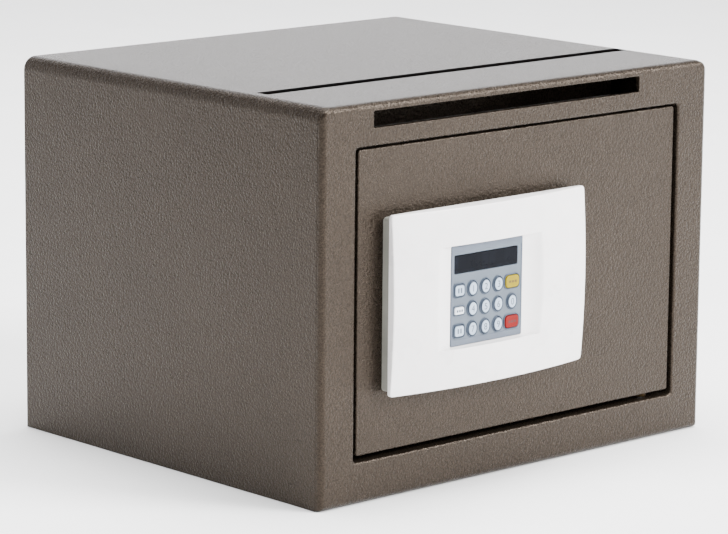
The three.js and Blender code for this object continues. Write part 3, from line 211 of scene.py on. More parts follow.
@dataclass(frozen=True)
class Finish:
    """A finish, with the values of its shader, and the size of its pattern in millimetres."""

    name: str
    colour: str
    roughness: float
    second: str = ""
    metallic: float = 0.0
    ior: float = 1.5
    coat: float = 0.0
    grain: float = 1.0
    relief: float = 0.02

    def material(self) -> bpy.types.Material:
        """Makes the finish's material on its first use.

        Returns:
            The material.
        """
        found = bpy.data.materials.get(self.name)
        if found:
            return found
        material = bpy.data.materials.new(self.name)
        material.use_nodes = True
        material.diffuse_color = linear(self.colour)
        tree = material.node_tree
        shader = tree.nodes["Principled BSDF"]
        values = {
            "Base Color": linear(self.colour),
            "Roughness": self.roughness,
            "Metallic": self.metallic,
            "IOR": self.ior,
            "Coat Weight": self.coat,
            "Coat Roughness": 0.08,
        }
        for name, value in values.items():
            shader.inputs[name].default_value = value
        place = add_node(tree, "ShaderNodeTexCoord").outputs["Object"]
        self.pattern(Surface(tree, shader, place))
        return material

    def pattern(self, surface: Surface) -> None:
        """Adds the finish's pattern: here a moulded surface with a fine spark-eroded grain.

        Args:
            surface: The material in the making.
        """
        tree, links = surface.tree, {"Vector": surface.place}
        fine = add_node(tree, "ShaderNodeTexNoise", grains(self.grain, 3.0), links).outputs["Fac"]
        cloud = add_node(tree, "ShaderNodeTexNoise", grains(self.grain * 45, 2.0), links).outputs["Fac"]
        self.tint(surface, cloud, low=0.35, high=0.65)
        self.vary_roughness(surface, cloud, spread=0.06)
        self.raise_relief(surface, fine, strength=0.6)

    def tint(self, surface: Surface, factor: bpy.types.NodeSocket, low: float, high: float) -> None:
        """Runs the base colour from the finish's colour to its second one.

        Args:
            surface: The material in the making.
            factor: What drives the colour.
            low: The factor up to which the first colour holds.
            high: The factor from which the second colour holds.
        """
        stops = [(low, self.colour), (high, self.second or self.colour)]
        node = add_node(surface.tree, "ShaderNodeValToRGB", links={"Fac": factor}, stops=stops)
        surface.feed("Base Color", node.outputs["Color"])

    def vary_roughness(self, surface: Surface, factor: bpy.types.NodeSocket, spread: float) -> None:
        """Varies the roughness around its value.

        Args:
            surface: The material in the making.
            factor: What drives the roughness.
            spread: How far it goes to either side.
        """
        settings = {"To Min": max(self.roughness - spread, 0.02), "To Max": min(self.roughness + spread, 1.0)}
        settings |= {"From Min": 0.3, "From Max": 0.7}
        node = add_node(surface.tree, "ShaderNodeMapRange", settings, {"Value": factor})
        surface.feed("Roughness", node.outputs["Result"])

    def raise_relief(self, surface: Surface, height: bpy.types.NodeSocket, strength: float) -> None:
        """Feeds a height pattern to the shader's normal.

        Args:
            surface: The material in the making.
            height: The pattern.
            strength: How much of the relief shows.
        """
        settings = {"Strength": strength, "Distance": self.relief * MM}
        node = add_node(surface.tree, "ShaderNodeBump", settings, {"Height": height})
        surface.feed("Normal", node.outputs["Normal"])


@dataclass(frozen=True)
class HammerCoat(Finish):
    """Hammertone powder coat: a metallic film that pulls into small rounded islands as it is baked.

    The islands stray from their places by up to wander grains, and the tone drifts over drift millimetres.
    """

    wander: float = 0.9
    drift: float = 60.0

    def pattern(self, surface: Surface) -> None:
        """Adds irregular islands, a fine metallic flake between them and a broad drift of tone.

        Args:
            surface: The material in the making.
        """
        tree, links = surface.tree, {"Vector": surface.place}
        settings = {"Scale": 1 / (self.grain * 1.6 * MM), "Detail": 2.0}
        swirl = add_node(tree, "ShaderNodeTexNoise", settings, links).outputs["Color"]
        settings = {"operation": "MULTIPLY_ADD", 1: (self.grain * self.wander * MM,) * 3}
        shifted = add_node(tree, "ShaderNodeVectorMath", settings, {0: swirl, 2: surface.place})
        settings = {
            "feature": "SMOOTH_F1",
            "Scale": 1 / (self.grain * MM),
            "Smoothness": 0.35,
            "Randomness": 1.0,
        }
        cells = {"Vector": shifted.outputs["Vector"]}
        islands = add_node(tree, "ShaderNodeTexVoronoi", settings, cells).outputs["Distance"]
        flake = add_node(tree, "ShaderNodeTexNoise", grains(self.grain * 0.55, 2.0), links).outputs["Fac"]
        drift = add_node(tree, "ShaderNodeTexNoise", grains(self.drift, 1.0), links).outputs["Fac"]
        settings = {"operation": "MULTIPLY_ADD", 1: -0.55}
        mixed = add_node(tree, "ShaderNodeMath", settings, {0: islands, 2: flake}).outputs["Value"]
        settings = {"operation": "MULTIPLY_ADD", 1: 0.25}
        tone = add_node(tree, "ShaderNodeMath", settings, {0: drift, 2: mixed}).outputs["Value"]
        self.tint(surface, tone, low=0.1, high=0.7)
        self.vary_roughness(surface, flake, spread=0.06)
        settings = {"operation": "MULTIPLY_ADD", 1: -1.0}
        height = add_node(tree, "ShaderNodeMath", settings, {0: islands, 2: flake}).outputs["Value"]
        self.raise_relief(surface, height, strength=0.75)


@dataclass(frozen=True)
class Plating(Finish):
    """Zinc or brass surface: bright metal with faint rolling lines and a soft clouding.

    Along the lines, the pattern's scale is stretch times its scale across them.
    """

    stretch: float = 0.06

    def pattern(self, surface: Surface) -> None:
        """Adds lines along X, a clouded tone and a worn roughness.

        Args:
            surface: The material in the making.
        """
        tree, links = surface.tree, {"Vector": surface.place}
        lines = add_node(tree, "ShaderNodeMapping", {"Scale": (self.stretch, 1.0, 1.0)}, links)
        along = {"Vector": lines.outputs["Vector"]}
        rolled = add_node(tree, "ShaderNodeTexNoise", grains(self.grain, 4.0), along).outputs["Fac"]
        cloud = add_node(tree, "ShaderNodeTexNoise", grains(self.grain * 22, 4.0), links).outputs["Fac"]
        self.tint(surface, cloud, low=0.3, high=0.7)
        self.vary_roughness(surface, cloud, spread=0.12)
        self.raise_relief(surface, rolled, strength=0.35)


@dataclass(frozen=True)
class Felt(Finish):
    """Needled felt: short matted fibres, darker where they part."""

    sheen: float = 0.4

    def pattern(self, surface: Surface) -> None:
        """Adds fibres, tufts and a soft sheen.

        Args:
            surface: The material in the making.
        """
        tree, links = surface.tree, {"Vector": surface.place}
        fibre = add_node(tree, "ShaderNodeTexNoise", grains(self.grain, 6.0), links).outputs["Fac"]
        tuft = add_node(tree, "ShaderNodeTexNoise", grains(self.grain * 9, 3.0), links).outputs["Fac"]
        settings = {"operation": "MULTIPLY_ADD", 1: 0.5}
        mixed = add_node(tree, "ShaderNodeMath", settings, {0: tuft, 2: fibre}).outputs["Value"]
        self.tint(surface, mixed, low=0.55, high=0.95)
        surface.shader.inputs["Sheen Weight"].default_value = self.sheen
        surface.shader.inputs["Sheen Roughness"].default_value = 0.6
        self.raise_relief(surface, mixed, strength=1.0)


@dataclass(frozen=True)
class DisplayGlass(Finish):
    """Smoked display window: softly glossy acrylic over faint character cells.

    Cells are cell wide and rows high, with gap between them. The shift first_cell brings them under the
    window. All are in millimetres.
    """

    cell: float = 6.6
    rows: float = 9.0
    gap: float = 0.9
    first_cell: Point = (77.0, 0.0, -142.7)

    def pattern(self, surface: Surface) -> None:
        """Adds a row of faint cells behind the gloss.

        Args:
            surface: The material in the making.
        """
        tree = surface.tree
        settings = {
            "Location": tuple(length * MM for length in self.first_cell),
            "Rotation": (math.pi / 2, 0.0, 0.0),
        }
        flat = add_node(tree, "ShaderNodeMapping", settings, {"Vector": surface.place}).outputs["Vector"]
        settings = {
            "offset": 0.0,
            "Scale": 1.0,
            "Brick Width": self.cell * MM,
            "Row Height": self.rows * MM,
            "Mortar Size": self.gap * MM,
            "Mortar Smooth": 0.6,
            "Color1": linear(self.second),
            "Color2": linear(self.colour),
            "Mortar": linear(self.colour),
        }
        cells = add_node(tree, "ShaderNodeTexBrick", settings, {"Vector": flat})
        surface.feed("Base Color", cells.outputs["Color"])
        smudge = add_node(tree, "ShaderNodeTexNoise", grains(self.grain, 3.0), {"Vector": surface.place})
        self.vary_roughness(surface, smudge.outputs["Fac"], spread=0.05)


@dataclass(frozen=True)
class BoardResin(Finish):
    """Glass-fibre board under green solder mask, with tracks that show as raised lines."""

    def pattern(self, surface: Surface) -> None:
        """Adds tracks and pads.

        Args:
            surface: The material in the making.
        """
        settings = {
            "distance": "CHEBYCHEV",
            "feature": "F1",
            "Scale": 1 / (self.grain * MM),
            "Randomness": 0.6,
        }
        node = add_node(surface.tree, "ShaderNodeTexVoronoi", settings, {"Vector": surface.place})
        tracks = node.outputs["Distance"]
        self.tint(surface, tracks, low=0.42, high=0.5)
        self.vary_roughness(surface, tracks, spread=0.05)
        self.raise_relief(surface, tracks, strength=0.5)


@dataclass(frozen=True)
class StudioPaper(Finish):
    """Matt white paper under the object, with a barely seen mottle."""

    def pattern(self, surface: Surface) -> None:
        """Adds the mottle.

        Args:
            surface: The material in the making.
        """
        links = {"Vector": surface.place}
        mottle = add_node(surface.tree, "ShaderNodeTexNoise", grains(self.grain, 2.0), links)
        self.tint(surface, mottle.outputs["Fac"], low=0.3, high=0.7)


# Hammertone powder coat, baked on steel sheet: dark bronze with a dull metallic sheen, in rounded islands of
# about 2 mm. It is part metal flake and part resin, and the resin's IOR is set low so that faces seen at a
# slant don't turn pale.
COAT = HammerCoat(
    "hammertone_powder_coat", "2B241D", 0.28, "372F27", metallic=0.6, ior=1.3, grain=1.7, relief=0.42
)
# Painted shade on the rim and walls of the cross slot, so that it shows as a dark gap wider than the cut:
# dead matt and nearly black.
SLOT_SHADE = Finish("painted_slot_shade", "040404", 1.0, "070606", ior=1.08, grain=1.2, relief=0.02)
# Zinc-plated steel, turned or drawn: bright and slightly clouded, with faint lines. The lines are finer in
# life, and drawn 0.5 mm apart so that they show.
ZINC = Plating("zinc_plated_steel", "A9ACAF", 0.34, "C6C8CA", metallic=1.0, grain=0.5, relief=0.02)
# Turned brass, darkened to a dull, near-brown yellow as painted shade, since the bushes sit in the dark gap
# by the door.
SHADED_BRASS = Plating("turned_brass", "231B10", 0.55, "362A18", metallic=1.0, grain=0.4, relief=0.015)
# Needled polyester felt: soft and nearly black. Its fibres are drawn at 0.5 mm, coarser than life.
FELT = Felt("needled_felt", "1E1E20", 0.95, "3B3B3E", grain=0.5, relief=0.5)
# Injection-moulded ABS, in white for the cover and grey for the plinth: satin, with a spark-eroded grain that
# is drawn at 0.6 mm, coarser than life.
WHITE_ABS = Finish("white_abs", "EEEBEA", 0.3, "F4F1F0", ior=1.54, grain=0.6, relief=0.012)
GREY_ABS = Finish("grey_abs", "83827A", 0.42, "8D8C84", ior=1.54, grain=0.6, relief=0.015)
# Blue-grey ABS of the keypad panel, moulded and lightly grained: its field, its border, and a darker
# blue-grey that is painted shade on the collars and in the holes round the keys and on the sides of the oval
# and square caps. The grain is drawn coarser than life.
PANEL_ABS = Finish("panel_abs", "525C67", 0.4, "5A646F", ior=1.45, grain=0.5, relief=0.01)
BORDER_ABS = Finish("panel_border_abs", "525B68", 0.42, "5A6370", ior=1.45, grain=0.5, relief=0.01)
KEY_GAP_SHADE = Finish("key_gap_painted_shade", "424D5C", 0.5, "4A5564", ior=1.4, grain=0.5, relief=0.01)
# Smoked acrylic with an anti-glare face over a dark liquid crystal: blue-black, with soft faint reflections.
DISPLAY = DisplayGlass("smoked_acrylic", "05070D", 0.3, "0D1018", ior=1.14, grain=14.0)
# Moulded silicone keys: soft satin, pale blue-grey, white, yellow and red. The strong colours have a low IOR,
# so that the lights don't wash them out.
KEY_GREY = Finish("silicone_key_grey", "9FB0C2", 0.5, "A9BACB", ior=1.43, grain=0.4, relief=0.012)
KEY_WHITE = Finish("silicone_key_white", "D3DAE1", 0.5, "DDE3E9", ior=1.43, grain=0.4, relief=0.012)
KEY_YELLOW = Finish("silicone_key_yellow", "887700", 0.5, "918000", ior=1.25, grain=0.4, relief=0.012)
KEY_RED = Finish("silicone_key_red", "6C0503", 0.5, "760806", ior=1.25, grain=0.4, relief=0.012)
# Screen-printed ink on the keys: flat, dull and darker than the key under it.
INK_GREY = Finish("key_ink_grey", "3A4656", 0.6, "434F5F", grain=0.3, relief=0.004)
INK_AMBER = Finish("key_ink_amber", "4A3504", 0.6, "54400A", grain=0.3, relief=0.004)
INK_MAROON = Finish("key_ink_maroon", "3A0604", 0.6, "440C08", grain=0.3, relief=0.004)
# Injection-moulded black ABS of the battery holder and the case's cover: dark satin with a visible grain.
BLACK_ABS = Finish("black_abs", "1C1D1F", 0.45, "26272A", ior=1.54, grain=0.7, relief=0.02)
# Natural acetal of the gearbox and the guides, moulded: waxy white.
ACETAL = Finish("natural_acetal", "DAD7CC", 0.4, "E4E1D8", ior=1.48, grain=0.8, relief=0.01)
# Printed film shrunk on the cells, glossy and nearly black, and its copper-coloured end band.
CELL_FILM = Finish("cell_film", "24272C", 0.22, "2E3238", ior=1.5, coat=0.5, grain=2.0, relief=0.004)
CELL_BAND = Finish("cell_band", "A8683A", 0.25, "B67846", metallic=0.8, grain=2.0, relief=0.004)
# Etched circuit board under solder mask: satin green with raised tracks.
BOARD = BoardResin("circuit_board", "1F5A3A", 0.35, "2F7A50", grain=3.2, relief=0.04)
# Moulded black rubber of the cable and its grommet: dull and dark.
RUBBER = Finish("black_rubber", "161617", 0.7, "202022", ior=1.52, grain=0.8, relief=0.03)
# Matt studio paper: plain and pale.
PAPER = StudioPaper("studio_paper", "F8F8F8", 0.9, "FBFBFB", grain=120.0)

SLOT_FINISHES: dict[str, Finish] = {
    "powder_coat": COAT,
    "zinc_steel": ZINC,
    "brass": SHADED_BRASS,
    "felt": FELT,
    "white_cover": WHITE_ABS,
    "grey_plinth": GREY_ABS,
    "bezel": PANEL_ABS,
    "display": DISPLAY,
    "key_grey": KEY_GREY,
    "key_white": KEY_WHITE,
    "key_yellow": KEY_YELLOW,
    "key_red": KEY_RED,
    "black_plastic": BLACK_ABS,
    "white_acetal": ACETAL,
    "cell_case": CELL_FILM,
    "board": BOARD,
    "rubber": RUBBER,
}
# The ink of the signs on the two coloured keys, by the key's slot.
SIGN_INKS: dict[str, Finish] = {"key_yellow": INK_AMBER, "key_red": INK_MAROON}


# Modelling


def leave_selection() -> None:
    """Goes back to object mode with nothing selected."""
    if bpy.context.object and bpy.context.object.mode != "OBJECT":
        bpy.ops.object.mode_set(mode="OBJECT")
    bpy.ops.object.select_all(action="DESELECT")


@dataclass(frozen=True)
class Outline:
    """A flat outline: a rounded rectangle, or an ellipse where it has no corner radius."""

    width: float
    height: float
    corner: float | None = None

    def growth(self, offset: float, previous: float) -> tuple[float, float]:
        """How much the outline grows from one offset to another.

        Args:
            offset: The new offset.
            previous: The offset that it has.

        Returns:
            The growth of its width and of its height.
        """
        return (
            (self.width + 2 * offset) / (self.width + 2 * previous),
            (self.height + 2 * offset) / (self.height + 2 * previous),
        )


class Workpiece:
    """A mesh that operators shape at its place in the frame. Its lengths are in millimetres."""

    def __init__(self, name: str) -> None:
        """Takes the object that was just added, and applies its place.

        Args:
            name: The piece's name.
        """
        self.obj = bpy.context.object
        self.obj.name = name
        self.obj.data.name = name
        bpy.ops.object.transform_apply(location=True, rotation=True, scale=True)

    @classmethod
    def block(cls, name: str, low: Point, high: Point) -> Workpiece:
        """A box between two corners, to be shaped.

        Args:
            name: The piece's name.
            low: The corner with the lowest coordinates.
            high: The corner with the highest coordinates.

        Returns:
            The box.
        """
        leave_selection()
        first, last = Vector(low) * MM, Vector(high) * MM
        bpy.ops.mesh.primitive_cube_add(size=1, location=(first + last) / 2, scale=last - first)
        return cls(name)

    @classmethod
    def flat(cls, name: str, outline: Outline, centre: Vector, axis: Axis, steps: int = 8) -> Workpiece:
        """A filled outline across an axis.

        Args:
            name: The piece's name.
            outline: Its outline.
            centre: Its centre.
            axis: The axis that it lies across.
            steps: Segments in a rounded corner.

        Returns:
            The flat piece.
        """
        leave_selection()
        place = {"location": centre * MM, "rotation": axis.turn()}
        if outline.corner is None:
            bpy.ops.mesh.primitive_circle_add(vertices=48, radius=0.5 * MM, fill_type="NGON", **place)
        else:
            bpy.ops.mesh.primitive_plane_add(size=MM, **place)
        bpy.context.object.scale = (outline.width, outline.height, 1)
        piece = cls(name)
        if outline.corner:
            with piece.editing("VERT"):
                bpy.ops.mesh.select_all(action="SELECT")
                bpy.ops.mesh.bevel(offset=outline.corner * MM, segments=steps, affect="VERTICES")
        return piece

    @classmethod
    def stack(cls, name: str, outline: Outline, centre: Vector, axis: Axis, levels: Levels) -> Workpiece:
        """A solid drawn out along an axis from a flat outline, growing or shrinking on its way.

        Args:
            name: The piece's name.
            outline: The outline at no offset.
            centre: The outline's centre. Its place along the axis is added to the levels' places.
            axis: The axis to draw along.
            levels: Each level's place along the axis and the outline's offset there.

        Returns:
            The closed solid.
        """
        place, offset = levels[0]
        piece = cls.flat(name, outline, centre + axis.along(place), axis)
        with piece.editing("FACE"):
            bpy.ops.mesh.select_all(action="SELECT")
            growth = axis.growth(*outline.growth(offset, 0))
            bpy.ops.transform.resize(value=growth, center_override=(centre + axis.along(place)) * MM)
            for next_place, next_offset in levels[1:]:
                move = axis.along(next_place - place) * MM
                bpy.ops.mesh.extrude_region_move(TRANSFORM_OT_translate={"value": move})
                growth = axis.growth(*outline.growth(next_offset, offset))
                bpy.ops.transform.resize(value=growth, center_override=(centre + axis.along(next_place)) * MM)
                place, offset = next_place, next_offset
        piece.face_outwards()
        return piece

    @classmethod
    def turned(
        cls,
        name: str,
        centre: Vector,
        axis: Axis,
        profile: Levels,
        sides: int = 48,
        bored: bool = False,
        way: int = 1,
    ) -> Workpiece:
        """A turned piece, drawn out ring by ring.

        Args:
            name: The piece's name.
            centre: A point on its axis.
            axis: Its axis.
            profile: Each ring's place along the axis, from centre, and its radius. A bored piece's profile
                comes back to its first ring.
            sides: Faces round it.
            bored: Whether the piece is open along its axis.
            way: 1 to draw it along the axis, -1 to draw it the other way.

        Returns:
            The closed solid.
        """
        leave_selection()
        place, radius = profile[0]
        bpy.ops.mesh.primitive_circle_add(
            vertices=sides,
            radius=radius * MM,
            fill_type="NOTHING" if bored else "NGON",
            location=(centre + axis.along(way * place)) * MM,
            rotation=axis.turn(),
        )
        piece = cls(name)
        draw = bpy.ops.mesh.extrude_edges_move if bored else bpy.ops.mesh.extrude_region_move
        with piece.editing("EDGE" if bored else "FACE"):
            bpy.ops.mesh.select_all(action="SELECT")
            for next_place, next_radius in profile[1:]:
                draw(TRANSFORM_OT_translate={"value": axis.along(way * next_place - way * place) * MM})
                share = next_radius / radius
                middle = (centre + axis.along(way * next_place)) * MM
                bpy.ops.transform.resize(value=axis.growth(share, share), center_override=middle)
                place, radius = next_place, next_radius
            if bored:
                bpy.ops.mesh.select_all(action="SELECT")
                bpy.ops.mesh.remove_doubles(threshold=0.001 * MM)
        piece.face_outwards()
        return piece

    @classmethod
    def of_node(cls, node: str, source: bpy.types.Object) -> Workpiece:
        """A merged copy of a CAD node, with its flat faces whole again.

        Args:
            node: The node's name.
            source: Its object, which stays as it is.

        Returns:
            The copy.
        """
        leave_selection()
        copy = bpy.data.objects.new(f"{node}_dressed", source.data.copy())
        bpy.context.scene.collection.objects.link(copy)
        bpy.context.view_layer.objects.active = copy
        copy.select_set(True)
        if copy.data.has_custom_normals:
            bpy.ops.mesh.customdata_custom_splitnormals_clear()
        piece = cls(f"{node}_dressed")
        with piece.editing("FACE"):
            bpy.ops.mesh.select_all(action="SELECT")
            bpy.ops.mesh.remove_doubles(threshold=0.002 * MM)
            bpy.ops.mesh.dissolve_limited(angle_limit=math.radians(0.6))
        return piece

    @classmethod
    def words(cls, name: str, text: str, height: float, centre: Vector, depth: float) -> Workpiece:
        """Raised digits that face the front.

        Args:
            name: The piece's name.
            text: The digits.
            height: Their height.
            centre: The middle of their rear face.
            depth: How far they stand out.

        Returns:
            The digits as a mesh.
        """
        leave_selection()
        bpy.ops.object.text_add(location=centre * MM, rotation=Axis.Y.turn())
        letters = bpy.context.object.data
        letters.body = text
        # A digit is 0.7 of the font's size high.
        letters.size = height * MM / 0.7
        letters.align_x = "CENTER"
        letters.align_y = "CENTER"
        letters.extrude = depth * MM / 2
        bpy.ops.object.convert(target="MESH")
        piece = cls(name)
        box = [Vector(corner) for corner in piece.obj.bound_box]
        middle = (Vector(map(min, zip(*box))) + Vector(map(max, zip(*box)))) / 2
        piece.move((centre - Axis.Y.along(depth / 2)) - middle / MM)
        return piece

    def activate(self) -> None:
        """Selects this piece alone, in object mode."""
        leave_selection()
        bpy.context.view_layer.objects.active = self.obj
        self.obj.select_set(True)

    @contextmanager
    def editing(self, kind: str) -> Iterator[None]:
        """Edit mode with nothing selected.

        Args:
            kind: What is selected in it: VERT, EDGE or FACE.

        Yields:
            Nothing, while edit mode is on.
        """
        self.activate()
        bpy.ops.object.mode_set(mode="EDIT")
        bpy.ops.mesh.select_mode(type=kind)
        bpy.ops.mesh.select_all(action="DESELECT")
        yield
        bpy.ops.object.mode_set(mode="OBJECT")

    def pick(self, kind: str, where: Callable[..., bool]) -> int:
        """Selects the elements that pass a test, in edit mode.

        Args:
            kind: The mesh's list of them: verts, edges or faces.
            where: The test of one element.

        Returns:
            How many pass.
        """
        mesh = bmesh.from_edit_mesh(self.obj.data)
        found = [element for element in getattr(mesh, kind) if where(element)]
        for element in found:
            element.select_set(True)
        bmesh.update_edit_mesh(self.obj.data)
        return len(found)

    def pick_faces(self, where: FaceTest) -> int:
        """Selects the faces that pass a test of their centre and normal, and returns how many do."""
        return self.pick("faces", lambda face: where(face.calc_center_median() / MM, face.normal))

    def pick_edges(self, where: EdgeTest) -> int:
        """Selects the edges that pass a test of their two ends, and returns how many do."""
        return self.pick("edges", lambda edge: where(edge.verts[0].co / MM, edge.verts[1].co / MM))

    def pick_vertices(self, where: VertexTest) -> int:
        """Selects the vertices that pass a test of their place, and returns how many do."""
        return self.pick("verts", lambda vertex: where(vertex.co / MM))

    def face_outwards(self) -> None:
        """Merges doubles and turns every face outwards."""
        with self.editing("FACE"):
            bpy.ops.mesh.select_all(action="SELECT")
            bpy.ops.mesh.remove_doubles(threshold=0.0005 * MM)
            bpy.ops.mesh.normals_make_consistent(inside=False)

    def bevel(self, where: EdgeTest, width: float, steps: int) -> Workpiece:
        """Bevels the edges that pass a test.

        Args:
            where: The test of an edge's two ends.
            width: The bevel's width.
            steps: Its segments.

        Returns:
            This piece.
        """
        with self.editing("EDGE"):
            if self.pick_edges(where):
                bpy.ops.mesh.bevel(offset=width * MM, segments=steps, affect="EDGES")
        return self

    def bevel_sharp(self, width: float) -> Workpiece:
        """Bevels every edge sharper than 40 degrees, as far as the faces beside it allow.

        Args:
            width: The bevel's width.

        Returns:
            This piece.
        """
        settings = {"limit_method": "ANGLE", "angle_limit": math.radians(40), "use_clamp_overlap": True}
        self.modify("BEVEL", width=width * MM, segments=2, **settings)
        return self

    def soften(self, steps: int, *sets: tuple[float, EdgeTest]) -> Workpiece:
        """Bevels several sets of edges at once, each to its own width.

        Args:
            steps: Segments in each bevel.
            sets: A width and a test of an edge's ends for each set.

        Returns:
            This piece.
        """
        widest = max(width for width, _ in sets)
        for width, where in sets:
            with self.editing("EDGE"):
                if self.pick_edges(where):
                    bpy.ops.transform.edge_bevelweight(value=width / widest)
        settings = {"limit_method": "WEIGHT", "use_clamp_overlap": False}
        self.modify("BEVEL", width=widest * MM, segments=steps, **settings)
        return self

    def remove_faces(self, where: FaceTest) -> Workpiece:
        """Deletes the faces that pass a test.

        Args:
            where: The test of a face's centre and normal.

        Returns:
            This piece.
        """
        with self.editing("FACE"):
            if self.pick_faces(where):
                bpy.ops.mesh.delete(type="FACE")
        return self

    def modify(self, kind: str, **settings: object) -> None:
        """Adds a modifier and applies it.

        Args:
            kind: The modifier's type.
            settings: Its settings by property name.
        """
        self.activate()
        bpy.ops.object.modifier_add(type=kind)
        modifier = self.obj.modifiers[-1]
        for key, value in settings.items():
            setattr(modifier, key, value)
        bpy.ops.object.modifier_apply(modifier=modifier.name)

    def combine(self, how: Join, *others: Workpiece) -> Workpiece:
        """Joins or cuts this piece with others.

        Args:
            how: Whether to join or to cut.
            others: The other pieces, which are used up.

        Returns:
            This piece.
        """
        for other in others:
            self.modify("BOOLEAN", operation=how.value, object=other.obj, solver="EXACT")
            bpy.data.objects.remove(other.obj, do_unlink=True)
        return self

    def move(self, offset: Vector) -> Workpiece:
        """Moves the whole mesh.

        Args:
            offset: How far it moves.

        Returns:
            This piece.
        """
        with self.editing("VERT"):
            bpy.ops.mesh.select_all(action="SELECT")
            bpy.ops.transform.translate(value=offset * MM)
        return self

    def copy(self, name: str, offset: Vector) -> Workpiece:
        """Copies the piece with its own mesh.

        Args:
            name: The copy's name.
            offset: How far it is moved.

        Returns:
            The copy.
        """
        self.activate()
        bpy.ops.object.duplicate()
        return Workpiece(name).move(offset)

    def absorb(self, *others: Workpiece) -> Workpiece:
        """Takes other meshes into this one, with their materials.

        Args:
            others: The other pieces, which are used up.

        Returns:
            This piece.
        """
        self.activate()
        for other in others:
            other.obj.select_set(True)
        bpy.ops.object.join()
        return self

    def paint(self, finish: Finish, where: FaceTest | None = None) -> Workpiece:
        """Gives a finish to the piece.

        Args:
            finish: The finish.
            where: A test of a face's centre and normal, or None for the whole piece.

        Returns:
            This piece.
        """
        materials = self.obj.data.materials
        if where is None:
            materials.clear()
        material = finish.material()
        if material.name not in materials:
            materials.append(material)
        index = list(materials).index(material)
        for polygon in self.obj.data.polygons:
            if where is None or where(polygon.center / MM, polygon.normal):
                polygon.material_index = index
        return self

    def smooth(self, angle: float = 32.0) -> Workpiece:
        """Shades the piece smooth, with flat faces kept flat beside bevels.

        Args:
            angle: The angle up to which an edge is smoothed, in degrees.

        Returns:
            This piece.
        """
        self.activate()
        bpy.ops.object.shade_smooth_by_angle(angle=math.radians(angle))
        self.modify("WEIGHTED_NORMAL", keep_sharp=True, weight=60)
        return self

    def ride(self, body: str, slot: str, *nodes: str) -> None:
        """Sets the piece on its body in place of its CAD nodes.

        Args:
            body: The CAD body's name.
            slot: The record's material slot; not used.
            nodes: The CAD nodes that the piece stands for.
        """
        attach(self.obj, body)
        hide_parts(*nodes)
        LOG.info("%s: %d faces, on %s", self.obj.name, len(self.obj.data.polygons), body)


@dataclass(frozen=True)
class CadModel:
    """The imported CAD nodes, and the material slot that the record gives each of them."""

    nodes: dict[str, bpy.types.Object]
    slots: dict[str, str]

    def dress(self) -> None:
        """Gives every CAD node the finish of its slot."""
        for name, node in self.nodes.items():
            finish = SLOT_FINISHES[self.slots[name]]
            for slot in node.material_slots:
                slot.material = finish.material()
            if not node.material_slots:
                node.data.materials.append(finish.material())
            LOG.info("%s: %s", name, finish.name)

    def soften(self, node: str, body: Body, edge: float, slot: str | None = None) -> None:
        """Puts a copy with softened edges in a node's place.

        Args:
            node: The node's name.
            body: The body that it rides on.
            edge: The width of the bevels on its edges.
            slot: The slot of its finish, where it isn't the record's.
        """
        slot = slot or self.slots[node]
        piece = Workpiece.of_node(node, self.nodes[node]).bevel_sharp(edge)
        piece.smooth().paint(SLOT_FINISHES[slot]).ride(body.value, slot, node)


def corners(node: str) -> tuple[Vector, Vector]:
    """A CAD node's lowest and highest corners, in millimetres."""
    low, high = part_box(node)
    return Vector(low) / MM, Vector(high) / MM


def near(value: float, target: float, reach: float = 0.05) -> bool:
    """Whether a length lies at a target."""
    return abs(value - target) < reach


def both(axis: Axis, target: float) -> EdgeTest:
    """A test for edges that lie in a plane across an axis."""
    return lambda a, b: near(a[axis.value], target) and near(b[axis.value], target)


def running(axis: Axis, where: VertexTest | None = None) -> EdgeTest:
    """Makes a test for edges that run along an axis.

    Args:
        axis: The axis.
        where: A further test that both ends have to pass.

    Returns:
        The test.
    """

    def test(a: Vector, b: Vector) -> bool:
        """Whether the edge runs along the axis."""
        side = (b - a).normalized()
        return abs(side[axis.value]) > 0.999 and (where is None or (where(a) and where(b)))

    return test


def steps_between(start: float, end: float, step: float) -> list[float]:
    """Places from a start up to an end, a step apart."""
    return [start + i * step for i in range(int((end - start) / step) + 1)]


def lip_levels(face: float, lip: float, end: float, steps: int = 4) -> list[tuple[float, float]]:
    """Levels of a cutter that leaves a rounded lip at a front face.

    Args:
        face: The front face's y.
        lip: The lip's radius.
        end: Where the cutter ends.
        steps: Segments in the lip.

    Returns:
        Places along Y with the outline's offset at each.
    """
    levels = [(face - 1, lip), (face, lip)]
    for i in range(1, steps):
        angle = i / steps * math.pi / 2
        levels.append((face + lip * (1 - math.cos(angle)), lip * (1 - math.sin(angle))))
    return [*levels, (face + lip, 0.0), (end, 0.0)]


# The object


